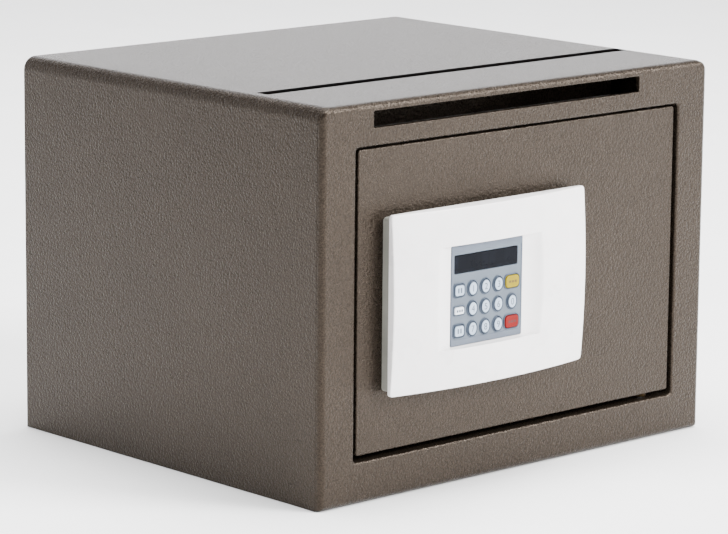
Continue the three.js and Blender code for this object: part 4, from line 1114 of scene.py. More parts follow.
@dataclass
class Cabinet:
    """The bent wrap, the pressed front frame, and the sheets and flanges inside.

    The wrap meets the frame at seam. Shapes that are joined run into each other by overlap. The frame has a
    spigot that sits inside the wrap, and a return flange round the door opening. The letter slot is in the
    frame, and the cross slot, with a rolled rim, is in the top. The mat has holes over the anchor holes.
    """

    half_width: float = 175.0
    front: float = -150.0
    back: float = 150.0
    height: float = 255.0
    seam: float = -145.4
    sheet: float = 2.0
    sheet_edge: float = 0.35
    plate: float = 3.0
    overlap: float = 1.5
    top_radius: float = 9.0
    bottom_radius: float = 1.2
    front_radius: float = 4.0
    spigot_end: float = -134.0
    spigot_radius: float = 6.7
    flange_wall: float = 3.0
    flange_end: float = -135.0
    opening_half: float = 146.75
    opening_bottom: float = 27.3
    opening_top: float = 227.7
    opening_corner: float = 3.0
    opening_lip: float = 1.5
    slot_left: float = -132.0
    slot_right: float = 107.7
    slot_bottom: float = 239.1
    slot_top: float = 249.7
    slot_lip: float = 0.5
    cross_slot: Outline = Outline(326, 8, 1.5)
    cross_slot_x: float = 3.0
    cross_slot_y: float = -77.5
    cross_slot_rim: float = 1.4
    hinge_x: float = 125.85
    hinge_y: float = -139.6
    pin_bore: float = 3.1
    bore_depth: float = 5.0
    nap: float = 0.5
    nap_spacing: float = 12.0
    mat_hole: float = 9.0
    anchor_x: float = 100.0
    anchor_y: float = 20.0

    def build(self, cad: CadModel) -> None:
        """Builds and dresses the cabinet's pieces.

        Args:
            cad: The CAD nodes.
        """
        self.wrap()
        self.front_frame()
        for node in ("base_plate", "back_panel", "deposit_chute", "fishing_guard"):
            cad.soften(node, Body.SHELL, 0.3)
        self.mat()

    def wrap(self) -> None:
        """Bends the top and both sides from one sheet, with the cross slot cut through the top."""
        start, rim = self.seam + SEAT, self.cross_slot_rim
        low, high = (-self.half_width, start, 0), (self.half_width, self.back, self.height)
        wrap = Workpiece.block("body_wrap_sheet", low, high)
        wrap.bevel(running(Axis.Y, lambda p: near(p.z, self.height)), self.top_radius, 12)
        wrap.remove_faces(lambda c, n: abs(n.y) > 0.9 or n.z < -0.9)
        wrap.modify("SOLIDIFY", thickness=self.sheet * MM, offset=-1, use_even_offset=True)
        centre = Vector((self.cross_slot_x, self.cross_slot_y, self.height))
        levels = [(1, rim), (0, rim), (-0.2, 0.9), (-0.6, 0.35), (-1.2, 0), (-4, 0)]
        cut = Workpiece.stack("cross_slot_cut", self.cross_slot, centre, Axis.Z, levels)
        wrap.combine(Join.SUBTRACT, cut)
        for edge in (start, self.back):
            wrap.bevel(both(Axis.Y, edge), self.sheet_edge, 2)
        # The rim and walls of the cross slot get painted shade.
        wrap.smooth().paint(COAT).paint(SLOT_SHADE, self.on_cross_slot)
        wrap.ride(Body.SHELL.value, "powder_coat", "body_wrap")

    def on_cross_slot(self, c: Vector, n: Vector) -> bool:
        """Whether a face belongs to the rim or the walls of the cross slot, which get painted shade.

        Args:
            c: The face's centre.
            n: Its normal, which isn't needed.

        Returns:
            Whether it does.
        """
        across = self.cross_slot.height / 2 + self.cross_slot_rim + 0.3
        beside = abs(c.y - self.cross_slot_y) < across and abs(c.x) < self.half_width - 5
        return beside and 0.03 < self.height - c.z < self.sheet + 0.1

    def front_frame(self) -> None:
        """Presses the front with rounded edges, and cuts the door opening and the letter slot."""
        low, high = (-self.half_width, self.front, 0), (self.half_width, self.seam, self.height)
        frame = Workpiece.block("front_frame_pressing", low, high)
        frame.soften(
            8,
            (self.top_radius, running(Axis.Y, lambda p: near(p.z, self.height))),
            (self.bottom_radius, running(Axis.Y, lambda p: near(p.z, 0))),
            (self.front_radius, both(Axis.Y, self.front)),
        )
        slot_middle = Vector(
            ((self.slot_left + self.slot_right) / 2, 0, (self.slot_bottom + self.slot_top) / 2)
        )
        slot = Outline(self.slot_right - self.slot_left, self.slot_top - self.slot_bottom, 1)
        slot_levels = lip_levels(self.front, self.slot_lip, self.front + self.plate + self.overlap)
        spigot, hollow = self.spigot()
        ring, doorway = self.doorway()
        letter_slot = Workpiece.stack("letter_slot_cut", slot, slot_middle, Axis.Y, slot_levels)
        frame.combine(Join.UNION, spigot).combine(Join.SUBTRACT, hollow).combine(Join.UNION, ring)
        frame.combine(Join.SUBTRACT, doorway, letter_slot)
        bore = [(0, self.pin_bore), (self.bore_depth, self.pin_bore)]
        for foot in (self.opening_bottom - self.flange_wall - 1, self.opening_top - 1):
            place = Vector((self.hinge_x, self.hinge_y, foot))
            frame.combine(Join.SUBTRACT, Workpiece.turned("pin_bore", place, Axis.Z, bore))
        frame.smooth().paint(COAT).ride(Body.SHELL.value, "powder_coat", "front_frame")

    def spigot(self) -> tuple[Workpiece, Workpiece]:
        """Shapes the frame's spigot, which sits inside the wrap.

        Returns:
            The spigot and the hollow to cut from it.
        """
        side = self.half_width - self.sheet - SEAT
        floor, top = self.sheet + SEAT, self.height - self.sheet - SEAT
        low, high = (-side, self.front + self.overlap, floor), (side, self.spigot_end, top)
        spigot = Workpiece.block("spigot", low, high)
        spigot.bevel(running(Axis.Y, lambda p: near(p.z, top)), self.spigot_radius, 8)
        side, floor, top = side - self.sheet, floor + self.sheet, top - self.sheet
        low, high = (-side, self.front + self.plate, floor), (side, self.spigot_end + 2, top)
        hollow = Workpiece.block("frame_hollow", low, high)
        hollow.bevel(running(Axis.Y, lambda p: near(p.z, top)), self.spigot_radius - self.sheet, 8)
        return spigot, hollow

    def doorway(self) -> tuple[Workpiece, Workpiece]:
        """Shapes the door opening.

        Returns:
            The return flange round it and the opening to cut through the frame.
        """
        middle = Vector((0, 0, (self.opening_bottom + self.opening_top) / 2))
        opening = Outline(
            2 * self.opening_half, self.opening_top - self.opening_bottom, self.opening_corner
        )
        wall = self.flange_wall
        flange = Outline(opening.width + 2 * wall, opening.height + 2 * wall, self.opening_corner + wall)
        levels = [(self.front + self.overlap, 0), (self.flange_end, 0)]
        ring = Workpiece.stack("return_flange", flange, middle, Axis.Y, levels)
        levels = lip_levels(self.front, self.opening_lip, self.flange_end + 2)
        return ring, Workpiece.stack("doorway_cut", opening, middle, Axis.Y, levels)

    def mat(self) -> None:
        """Lays the felt mat, with clearance holes over the anchor holes and an uneven nap."""
        (left, near_y, bottom), (right, far_y, top) = corners("floor_mat")
        leave_selection()
        middle = Vector(((left + right) / 2, (near_y + far_y) / 2, top - 0.1)) * MM
        bpy.ops.mesh.primitive_grid_add(x_subdivisions=112, y_subdivisions=88, size=MM, location=middle)
        bpy.context.object.scale = (right - left, far_y - near_y, 1)
        mat = Workpiece("floor_mat_felt")
        nap = bpy.data.textures.new("felt_nap", "CLOUDS")
        nap.noise_scale = self.nap_spacing * MM
        settings = {"texture": nap, "texture_coords": "LOCAL", "mid_level": 1.0, "direction": "Z"}
        mat.modify("DISPLACE", strength=self.nap * MM, **settings)
        mat.modify("SOLIDIFY", thickness=(top - bottom - self.nap - 0.2) * MM, offset=-1)
        for x in (-self.anchor_x, self.anchor_x):
            place = Vector((x, self.anchor_y, bottom - 1))
            levels = [(0, self.mat_hole), (5, self.mat_hole)]
            mat.combine(Join.SUBTRACT, Workpiece.turned("mat_hole", place, Axis.Z, levels))
        mat.smooth(50).paint(FELT).ride(Body.SHELL.value, "felt", "floor_mat")


@dataclass
class Hinge:
    """Pins in the frame's return flange, brass bushes, and the lugs behind the door."""

    x: float = 125.85
    y: float = -139.6
    pin_radius: float = 3.0
    head_radius: float = 4.5
    head: float = 1.5
    nose: float = 0.8
    bush_radius: float = 4.9
    bore_radius: float = 3.1
    bush_edge: float = 0.3

    def build(self, cad: CadModel) -> None:
        """Turns the pins and bushes and dresses the lugs.

        Args:
            cad: The CAD nodes.
        """
        for end in ("lower", "upper"):
            self.pin(end)
            self.bush(end)
            # The lugs are welded to the door and sprayed with it.
            cad.soften(f"hinge_lug_{end}", Body.DOOR, 0.4, "powder_coat")

    def pin(self, end: str) -> None:
        """Turns a headed pin with a domed head and a chamfered nose.

        Args:
            end: Which pin: lower or upper.
        """
        low, high = corners(f"hinge_pin_{end}")
        start, way = (low.z, 1) if end == "lower" else (high.z, -1)
        long = high.z - low.z
        levels = [
            (0, self.head_radius - 1.2),
            (0.25, self.head_radius - 0.5),
            (0.7, self.head_radius),
            (self.head, self.head_radius),
            (self.head, self.pin_radius),
            (long - self.nose, self.pin_radius),
            (long, self.pin_radius - self.nose),
        ]
        place = Vector((self.x, self.y, start))
        pin = Workpiece.turned(f"hinge_pin_{end}_turned", place, Axis.Z, levels, way=way)
        pin.smooth().paint(ZINC).ride(Body.SHELL.value, "zinc_steel", f"hinge_pin_{end}")

    def bush(self, end: str) -> None:
        """Turns a bush with broken edges.

        Args:
            end: Which bush: lower or upper.
        """
        low, high = corners(f"hinge_bush_{end}")
        tall = high.z - low.z
        edge = min(self.bush_edge, tall / 4)
        levels = [
            (0, self.bore_radius),
            (0, self.bush_radius - edge),
            (edge, self.bush_radius),
            (tall - edge, self.bush_radius),
            (tall, self.bush_radius - edge),
            (tall, self.bore_radius),
            (0, self.bore_radius),
        ]
        place = Vector((self.x, self.y, low.z))
        bush = Workpiece.turned(f"hinge_bush_{end}_turned", place, Axis.Z, levels, bored=True)
        # The bush gets brass darkened as painted shade.
        bush.smooth().paint(SHADED_BRASS).ride(Body.SHELL.value, "brass", f"hinge_bush_{end}")


@dataclass
class Door:
    """The flat door panel, the lock case behind it, its cover and its screws."""

    half_width: float = 143.85
    bottom: float = 31.0
    top: float = 226.2
    front: float = -148.8
    thickness: float = 4.0
    corner: float = 2.0
    edge: float = 1.0
    cable_x: float = -22.0
    cable_z: float = 103.4
    cable_hole: float = 5.0
    screw_head: float = 3.4
    screw_shank: float = 1.6
    recess_long: float = 3.4
    recess_wide: float = 0.8
    recess_deep: float = 1.1

    def build(self, cad: CadModel) -> None:
        """Builds the panel and the screws, and dresses the case, its cover and the grommet.

        Args:
            cad: The CAD nodes.
        """
        self.panel()
        for node, edge in (("lock_case", 0.4), ("case_cover", 0.4), ("cable_grommet", 0.3)):
            cad.soften(node, Body.DOOR, edge)
        self.screws()

    def panel(self) -> None:
        """Cuts the panel with softened front edges and the cable hole."""
        low = (-self.half_width, self.front, self.bottom)
        panel = Workpiece.block(
            "door_panel_plate", low, (self.half_width, self.front + self.thickness, self.top)
        )
        panel.soften(6, (self.corner, running(Axis.Y)), (self.edge, both(Axis.Y, self.front)))
        place = Vector((self.cable_x, self.front - 1, self.cable_z))
        levels = [(0, self.cable_hole), (self.thickness + 2, self.cable_hole)]
        panel.combine(Join.SUBTRACT, Workpiece.turned("cable_hole", place, Axis.Y, levels))
        panel.smooth().paint(COAT).ride(Body.DOOR.value, "powder_coat", "door_panel")

    def screws(self) -> None:
        """Turns one pan-head screw with a cross recess, and copies it to the cover's corners."""
        low, high = corners("cover_screw_1")
        centre = (low + high) / 2
        long = high.y - low.y
        levels = [
            (0, self.screw_shank - 0.4),
            (0.4, self.screw_shank),
            (long - 1.8, self.screw_shank),
            (long - 1.8, self.screw_head),
            (long - 1.1, self.screw_head),
            (long - 0.5, self.screw_head * 0.86),
            (long - 0.15, self.screw_head * 0.6),
            (long, self.screw_head * 0.3),
        ]
        place = Vector((centre.x, low.y, centre.z))
        screw = Workpiece.turned("cover_screw_1_turned", place, Axis.Y, levels, sides=32)
        for wide, tall in ((self.recess_long, self.recess_wide), (self.recess_wide, self.recess_long)):
            first = (centre.x - wide / 2, high.y - self.recess_deep, centre.z - tall / 2)
            last = (centre.x + wide / 2, high.y + 1, centre.z + tall / 2)
            screw.combine(Join.SUBTRACT, Workpiece.block("cross_recess", first, last))
        screw.smooth().paint(ZINC)
        pieces = [screw]
        for number in (2, 3, 4):
            low, high = corners(f"cover_screw_{number}")
            pieces.append(screw.copy(f"cover_screw_{number}_turned", (low + high) / 2 - centre))
        for number, piece in enumerate(pieces, 1):
            piece.ride(Body.DOOR.value, "zinc_steel", f"cover_screw_{number}")


@dataclass
class BoltWork:
    """Two round bolts in flanged guides."""

    radius: float = 8.0
    nose: float = 1.5
    tail: float = 0.6

    def build(self, cad: CadModel) -> None:
        """Turns the bolts and dresses the guides.

        Args:
            cad: The CAD nodes.
        """
        for end in ("upper", "lower"):
            low, high = corners(f"lock_bolt_{end}")
            centre = (low + high) / 2
            long = high.x - low.x
            levels = [
                (0, self.radius - self.nose),
                (0.35, self.radius - 0.75),
                (0.8, self.radius - 0.3),
                (self.nose, self.radius),
                (long - self.tail, self.radius),
                (long, self.radius - self.tail),
            ]
            place = Vector((low.x, centre.y, centre.z))
            bolt = Workpiece.turned(f"lock_bolt_{end}_turned", place, Axis.X, levels, sides=64)
            bolt.smooth().paint(ZINC).ride(Body.BOLTS.value, "zinc_steel", f"lock_bolt_{end}")
            cad.soften(f"bolt_guide_{end}", Body.DOOR, 0.3)


@dataclass
class BatteryHolder:
    """The moulded tray, its sliding lid and four cells."""

    radius: float = 7.25
    nub_radius: float = 2.75
    nub: float = 1.3
    film_share: float = 0.66

    def build(self, cad: CadModel) -> None:
        """Dresses the mouldings and turns the cells.

        Args:
            cad: The CAD nodes.
        """
        cad.soften("battery_tray", Body.DOOR, 0.35)
        cad.soften("battery_lid", Body.LID, 0.35)
        for number in range(1, 5):
            self.cell(f"battery_cell_{number}", cad)

    def cell(self, node: str, cad: CadModel) -> None:
        """Turns a cell with rounded shoulders, a copper-coloured band and bright ends.

        Args:
            node: The cell's node.
            cad: The CAD nodes, whose mesh shows which way the cell points.
        """
        low, high = corners(node)
        centre = (low + high) / 2
        long = high.x - low.x
        tips = [v.co / MM for v in cad.nodes[node].data.vertices if near(v.co.x / MM, high.x, 0.1)]
        nub_right = max((tip - Vector((tip.x, centre.y, centre.z))).length for tip in tips) < self.radius / 2
        start, way = (low.x, 1) if nub_right else (high.x, -1)
        body = long - self.nub
        band = body * self.film_share
        levels = [
            (0, self.radius - 1.4),
            (0.3, self.radius - 0.5),
            (0.9, self.radius),
            (band, self.radius),
            (body - 0.9, self.radius),
            (body - 0.3, self.radius - 0.4),
            (body, self.radius - 1.4),
            (body, self.nub_radius),
            (long - 0.3, self.nub_radius),
            (long, self.nub_radius - 0.4),
        ]
        cell = Workpiece.turned(
            f"{node}_turned", Vector((start, centre.y, centre.z)), Axis.X, levels, way=way
        )
        cell.smooth().paint(CELL_FILM)
        cell.paint(CELL_BAND, lambda c, n: abs(c.x - start) > band and abs(n.x) < 0.5)
        cell.paint(ZINC, lambda c, n: abs(n.x) > 0.9 or abs(c.x - start) > body + 0.1)
        cell.ride(Body.DOOR.value, "cell_case", node)


@dataclass
class Crown:
    """The white cover's crowned face and the scoop round the keypad.

    The crown's height is given across and up. The scoop is flat from floor_left to floor_right, and rises by
    rise over each run beside it. Its sides are shaped as far as reach runs.
    """

    left: float = -124.2
    right: float = 48.2
    bottom: float = 67.7
    top: float = 184.1
    corner_y: float = -158.5
    rear: float = -156.2
    across: float = 8.3
    up: float = 2.8
    corner: float = 2.5
    floor: float = -163.6
    floor_left: float = -77.2
    floor_right: float = -13.6
    scoop_bottom: float = 93.4
    scoop_top: float = 160.2
    run: float = 14.5
    rise: float = 3.6
    reach: float = 1.7
    border: float = 4.0
    column_step: float = 4.9
    row_step: float = 4.5
    scoop_step: float = 1.0
    end_gap: float = 0.12

    def crown_y(self, x: float, z: float) -> float:
        """The crowned face's y, relative to its corners, as a sum of a part in x and a part in z.

        Args:
            x: A place across.
            z: A place up.

        Returns:
            The y.
        """
        u = (2 * x - self.left - self.right) / (self.right - self.left)
        v = (2 * z - self.bottom - self.top) / (self.top - self.bottom)
        return -self.across * (1 - u * u) - self.up * (1 - v * v)

    def scoop_y(self, x: float) -> float:
        """The scoop's y at an x: flat under the keypad, rising to both sides."""
        beyond = max(self.floor_left - x, x - self.floor_right, 0.0)
        return self.floor - self.rise * (beyond / self.run) ** 2

    def columns(self) -> list[float]:
        """Places across, closer together along the scoop's two sides.

        Returns:
            The x of each column.
        """
        far = self.run * self.reach
        wide = steps_between(self.left + self.border, self.right - 3.5, self.column_step)
        sides = steps_between(self.floor_left - far, self.floor_left, self.scoop_step)
        sides += steps_between(self.floor_right, self.floor_right + far, self.scoop_step)
        return sorted([*(x for x in wide if all(abs(x - s) > 0.8 for s in sides)), *sides])

    def rows(self) -> list[float]:
        """Places up, with a close pair at each end of the scoop.

        Returns:
            The z of each row.
        """
        wide = steps_between(self.bottom + self.border, self.top - 3.5, self.row_step)
        gaps = (-self.end_gap, self.end_gap)
        ends = [end + gap for end in (self.scoop_bottom, self.scoop_top) for gap in gaps]
        return sorted([*(z for z in wide if all(abs(z - e) > 1.2 for e in ends)), *ends])

    def solid(self, name: str, inset: float) -> Workpiece:
        """A closed block with the crowned and scooped face.

        Args:
            name: The piece's name.
            inset: How far it lies inside the outer surface. The lining has the wall's thickness.

        Returns:
            The closed block.
        """
        front = self.corner_y + inset
        rear = self.rear + (1 if inset else 0)
        outline = Outline(
            self.right - self.left - 2 * inset,
            self.top - self.bottom - 2 * inset,
            max(self.corner - inset, 0.6),
        )
        middle = Vector(((self.left + self.right) / 2, 0, (self.bottom + self.top) / 2))
        block = Workpiece.stack(name, outline, middle, Axis.Y, [(rear, 0), (front, 0)])
        with block.editing("FACE"):
            for axis, places in ((Axis.X, self.columns()), (Axis.Z, self.rows())):
                for place in places:
                    bpy.ops.mesh.select_all(action="DESELECT")
                    block.pick_faces(lambda c, n: n.y < -0.9)
                    bpy.ops.mesh.bisect(plane_co=axis.along(place) * MM, plane_no=axis.along(1))
        lowest = self.crown_y(middle.x, middle.z)
        self.raise_lines(block, front, Axis.X, lambda x: self.crown_y(x, middle.z) - lowest - self.across)
        self.raise_lines(block, front, Axis.Z, lambda z: self.crown_y(middle.x, z) - lowest - self.up)
        self.scoop(block, inset)
        return block

    def raise_lines(
        self, block: Workpiece, front: float, axis: Axis, lift: Callable[[float], float]
    ) -> None:
        """Raises the face line by line.

        Args:
            block: The block.
            front: The y from which vertices belong to the face.
            axis: The axis along which the lines follow each other.
            lift: How far to move a line along Y, by its place.
        """
        front += 0.01
        found = [v.co / MM for v in block.obj.data.vertices if v.co.y / MM < front]
        with block.editing("VERT"):
            for place in sorted({round(p[axis.value], 3) for p in found}):
                bpy.ops.mesh.select_all(action="DESELECT")
                if block.pick_vertices(lambda p: p.y < front and near(p[axis.value], place, SAME)):
                    bpy.ops.transform.translate(value=Axis.Y.along(lift(place)) * MM)

    def scoop(self, block: Workpiece, inset: float) -> None:
        """Presses the scoop in, column by column, and eases the crease where its sides run out.

        Args:
            block: The block with the crowned face.
            inset: How far it lies inside the outer surface.
        """
        far = self.run * self.reach + 0.5
        low, high = self.scoop_bottom - inset, self.scoop_top + inset
        left, right, crowned = self.floor_left - far, self.floor_right + far, self.corner_y - 2
        found = [v.co / MM for v in block.obj.data.vertices]
        columns = sorted({round(p.x, 3) for p in found if left < p.x < right and p.y < crowned})
        with block.editing("VERT"):
            for x in columns:
                target = self.scoop_y(x) + inset
                bpy.ops.mesh.select_all(action="DESELECT")
                if block.pick_vertices(
                    lambda p: near(p.x, x, SAME) and low < p.z < high and p.y < target
                ):
                    bpy.ops.transform.resize(value=(1, 0, 1), center_override=Axis.Y.along(target) * MM)
            bpy.ops.mesh.select_all(action="DESELECT")
            block.pick_vertices(
                lambda p: low + 1.5 < p.z < high - 1.5
                and (left < p.x < self.floor_left - 5 or self.floor_right + 5 < p.x < right)
                and p.y < crowned
            )
            bpy.ops.mesh.vertices_smooth(factor=0.5, repeat=3, xaxis=False, yaxis=True, zaxis=False)


@dataclass(frozen=True)
class Key:
    """A key of the keypad: its node, its form, its finish's slot, and its digit, or none for a sign."""

    node: str
    form: KeyForm
    slot: str
    digit: str = ""

    def centre(self) -> Vector:
        """The key's centre, on the plane y = 0."""
        low, high = corners(self.node)
        return Vector(((low.x + high.x) / 2, 0, (low.z + high.z) / 2))


@dataclass(frozen=True)
class Sign:
    """A generic sign of short dashes: one dash's outline, and the dashes' places across."""

    dash: Outline
    places: tuple[float, ...]


KEY_OUTLINES: dict[KeyForm, Outline] = {
    KeyForm.OVAL: Outline(7.6, 9.0),
    KeyForm.SQUARE: Outline(8.8, 7.6, 2.0),
    KeyForm.BAR: Outline(8.2, 4.7, 1.2),
    KeyForm.WIDE: Outline(11.9, 8.0, 2.6),
}
KEY_SIGNS: dict[KeyForm, Sign] = {
    KeyForm.SQUARE: Sign(Outline(1.2, 3.2, 0.3), (-1.2, 1.2)),
    KeyForm.BAR: Sign(Outline(1.3, 1.5, 0.3), (-2.0, 0.0, 2.0)),
    KeyForm.WIDE: Sign(Outline(1.9, 1.5, 0.3), (-2.5, 0.0, 2.5)),
}


@dataclass
class KeypadUnit:
    """The keypad on the door: plinth, white cover, panel, display and keys.

    The panel has a raised border round a lower field, and a pocket for the display. A flange behind it is
    wider than the cover's window. Each key sits in a hole, key_gap from its collar, which is ring wide and
    ends in front at collar.
    """

    crown: Crown
    wall: float = 2.0
    edge: float = 0.8
    window_gap: float = 0.3
    panel_left: float = -77.2
    panel_right: float = -13.6
    panel_bottom: float = 94.3
    panel_top: float = 159.3
    panel_front: float = -164.2
    panel_rear: float = -160.0
    flange: float = 2.0
    flange_front: float = -161.3
    field: Outline = Outline(60.0, 56.4, 0.8)
    field_x: float = -45.0
    field_z: float = 126.9
    field_deep: float = 0.22
    pocket: Outline = Outline(56.4, 12.1, 1)
    pocket_x: float = -46.3
    pocket_z: float = 147.2
    pocket_deep: float = 1.7
    keys_top: float = 140.0
    key_rear: float = -158.9
    key_shoulder: float = -159.7
    key_top: float = -165.2
    key_gap: float = 0.45
    ring: float = 1.05
    collar: float = -164.65
    digit: float = 4.3
    print_deep: float = 0.06

    def build(self, cad: CadModel) -> None:
        """Builds the unit from the rear forwards.

        Args:
            cad: The CAD nodes.
        """
        cad.soften("keypad_base", Body.DOOR, 0.4)
        self.cover()
        self.panel()
        self.display()
        self.caps()

    def panel_middle(self) -> Vector:
        """The panel's centre, on the plane y = 0."""
        across, up = self.panel_left + self.panel_right, self.panel_bottom + self.panel_top
        return Vector((across / 2, 0, up / 2))

    def panel_outline(self) -> Outline:
        """The panel's outline."""
        return Outline(self.panel_right - self.panel_left, self.panel_top - self.panel_bottom, 1)

    def cover(self) -> None:
        """Moulds the cover: crowned face, scoop, rounded rim, hollow rear and the panel's window."""
        c = self.crown
        cover = c.solid("keypad_cover_moulding", 0)

        def on_rim(p: Vector) -> bool:
            """Whether a point lies on the face's outer rim.

            Args:
                p: The point.

            Returns:
                Whether it does.
            """
            dx = max(c.left + c.corner - p.x, p.x - c.right + c.corner, 0)
            dz = max(c.bottom + c.corner - p.z, p.z - c.top + c.corner, 0)
            out = math.hypot(dx, dz) if dx and dz else max(dx, dz)
            return near(out, c.corner, 0.03) and p.y < c.corner_y + 0.02

        cover.bevel(lambda a, b: on_rim(a) and on_rim(b), self.edge, 4)
        lining = c.solid("cover_lining", self.wall)
        panel, gap = self.panel_outline(), 2 * self.window_gap
        hole = Outline(panel.width + gap, panel.height + gap, panel.corner + self.window_gap)
        window = Workpiece.stack("panel_window", hole, self.panel_middle(), Axis.Y, [(-166, 0), (-150, 0)])
        cover.combine(Join.SUBTRACT, lining, window)
        cover.smooth(38).paint(WHITE_ABS).ride(Body.DOOR.value, "white_cover", "keypad_shell")

    def keys(self) -> list[Key]:
        """Lists the keys by rows from the top.

        Returns:
            The keys. A sign is on the first of each row and on the two coloured ones.
        """
        digits = iter("123456789")
        keys = []
        for row in (1, 2, 3):
            for col in (1, 2, 3, 4, 5):
                node = f"key_row{row}_col{col}"
                if col == 1 and row == 2:
                    keys.append(Key(node, KeyForm.BAR, "key_white"))
                elif col == 1:
                    keys.append(Key(node, KeyForm.SQUARE, "key_grey"))
                elif col == 5 and row != 2:
                    keys.append(Key(node, KeyForm.WIDE, "key_yellow" if row == 1 else "key_red"))
                else:
                    keys.append(Key(node, KeyForm.OVAL, "key_grey", "0" if col == 5 else next(digits)))
        return keys

    def panel(self) -> None:
        """Moulds the panel: raised border, lower field, display pocket and rimmed key holes."""
        middle, front, rear = self.panel_middle(), self.panel_front, self.panel_rear
        outline = self.panel_outline()
        levels = [(rear, 0), (front + 0.5, 0), (front + 0.15, -0.25), (front, -0.7)]
        panel = Workpiece.stack("keypad_panel_moulding", outline, middle, Axis.Y, levels)
        behind = Outline(outline.width + 2 * self.flange, outline.height + 2 * self.flange, 1)
        levels = [(rear, 0), (self.flange_front, 0)]
        flange = Workpiece.stack("panel_flange", behind, middle, Axis.Y, levels)
        middle = Vector((self.field_x, 0, self.field_z))
        levels = [(front - 1, 0.3), (front, 0.3), (front + self.field_deep, 0)]
        field = Workpiece.stack("panel_field_cut", self.field, middle, Axis.Y, levels)
        middle = Vector((self.pocket_x, 0, self.pocket_z))
        levels = [(front - 1, 0.2), (front + 0.2, 0.2), (front + 0.45, 0), (front + self.pocket_deep, 0)]
        pocket = Workpiece.stack("display_pocket", self.pocket, middle, Axis.Y, levels)
        panel.combine(Join.UNION, flange).combine(Join.SUBTRACT, field, pocket)
        ring, gap, collar_y = self.ring, self.key_gap, self.collar
        collar_levels = [(front + 1, ring), (collar_y + 0.2, ring), (collar_y, ring - 0.2)]
        hole_levels = [(front - 2, gap + 0.15), (collar_y, gap + 0.15), (collar_y + 0.15, gap), (-158, gap)]
        for key in self.keys():
            outline, centre = KEY_OUTLINES[key.form], key.centre()
            collar = Workpiece.stack("key_collar", outline, centre, Axis.Y, collar_levels)
            hole = Workpiece.stack("key_hole", outline, centre, Axis.Y, hole_levels)
            panel.combine(Join.UNION, collar).combine(Join.SUBTRACT, hole)
        panel.smooth().paint(PANEL_ABS)
        # The collars and holes round the keys get painted shade.
        panel.paint(BORDER_ABS, self.on_border).paint(KEY_GAP_SHADE, self.in_shaded_key_gap)
        panel.ride(Body.DOOR.value, "bezel", "keypad_bezel")

    def on_border(self, c: Vector, n: Vector) -> bool:
        """Whether a face lies on the border round the field.

        Args:
            c: The face's centre.
            n: Its normal, which isn't needed.

        Returns:
            Whether it does.
        """
        beside = abs(c.x - self.field_x) > self.field.width / 2 + 0.1
        above = abs(c.z - self.field_z) > self.field.height / 2 + 0.1
        depth = c.y - self.panel_front
        return -0.02 < depth < 0.5 and (beside or above or depth < 0.05)

    def in_shaded_key_gap(self, c: Vector, n: Vector) -> bool:
        """Whether a face belongs to a key's collar or hole, which get painted shade.

        Args:
            c: The face's centre.
            n: Its normal.

        Returns:
            Whether it does.
        """
        depth = c.y - self.panel_front
        collar = depth < -0.02 or (abs(n.y) < 0.9 and depth < 0.2)
        low = self.field_z - self.field.height / 2 - 0.1
        among_keys = low < c.z < self.keys_top and abs(c.x - self.field_x) < self.field.width / 2 + 1.5
        return among_keys and (collar or (depth > 0.27 and c.y < self.panel_rear - 0.5))

    def display(self) -> None:
        """Fits the display window with a softened front edge."""
        low, high = corners("display_window")
        outline = Outline(high.x - low.x, high.z - low.z, 0.7)
        centre = Vector(((low.x + high.x) / 2, 0, (low.z + high.z) / 2))
        levels = [(high.y, 0), (low.y + 0.25, 0), (low.y + 0.07, -0.08), (low.y, -0.25)]
        window = Workpiece.stack("display_window_lens", outline, centre, Axis.Y, levels)
        window.smooth().paint(DISPLAY).ride(Body.DOOR.value, "display", "display_window")

    def caps(self) -> None:
        """Moulds one cap of each form, copies it to its places, and prints digits and signs on the caps."""
        top = self.key_top
        levels = [
            (self.key_rear, 0.8),
            (self.key_shoulder, 0.8),
            (self.key_shoulder, 0),
            (top + 0.62, 0),
            (top + 0.3, -0.1),
            (top + 0.14, -0.4),
            (top + 0.1, -0.6),
            (top, -1.4),
        ]
        models: dict[KeyForm, tuple[Workpiece, Vector]] = {}
        caps: list[tuple[Key, Workpiece]] = []
        for key in self.keys():
            name, centre = f"{key.node}_cap_moulding", key.centre()
            if key.form in models:
                model, first = models[key.form]
                cap = model.copy(name, centre - first)
            else:
                cap = Workpiece.stack(name, KEY_OUTLINES[key.form], centre, Axis.Y, levels).smooth(50)
                models[key.form] = (cap, centre)
            cap.paint(SLOT_FINISHES[key.slot])
            if key.form in (KeyForm.OVAL, KeyForm.SQUARE):
                # The sides of these caps get painted shade, for the shadow of their collars.
                cap.paint(KEY_GAP_SHADE, lambda c, n: c.y > top + 0.11)
            caps.append((key, cap))
        for key, cap in caps:
            cap.absorb(*self.print_on(key)).ride(f"{key.node}_cap", key.slot, key.node)

    def print_on(self, key: Key) -> list[Workpiece]:
        """Makes the printed digit or the generic sign of a key.

        Args:
            key: The key.

        Returns:
            The digit, or the sign's dashes.
        """
        centre = key.centre() + Axis.Y.along(self.key_top + 0.02)
        if key.digit:
            digit = Workpiece.words(f"{key.node}_digit", key.digit, self.digit, centre, self.print_deep)
            return [digit.paint(INK_GREY)]
        sign, ink = KEY_SIGNS[key.form], SIGN_INKS.get(key.slot, INK_GREY)
        levels = [(0, 0), (-self.print_deep, 0)]
        return [
            Workpiece.stack(
                f"{key.node}_sign", sign.dash, centre + Axis.X.along(shift), Axis.Y, levels
            ).paint(ink)
            for shift in sign.places
        ]


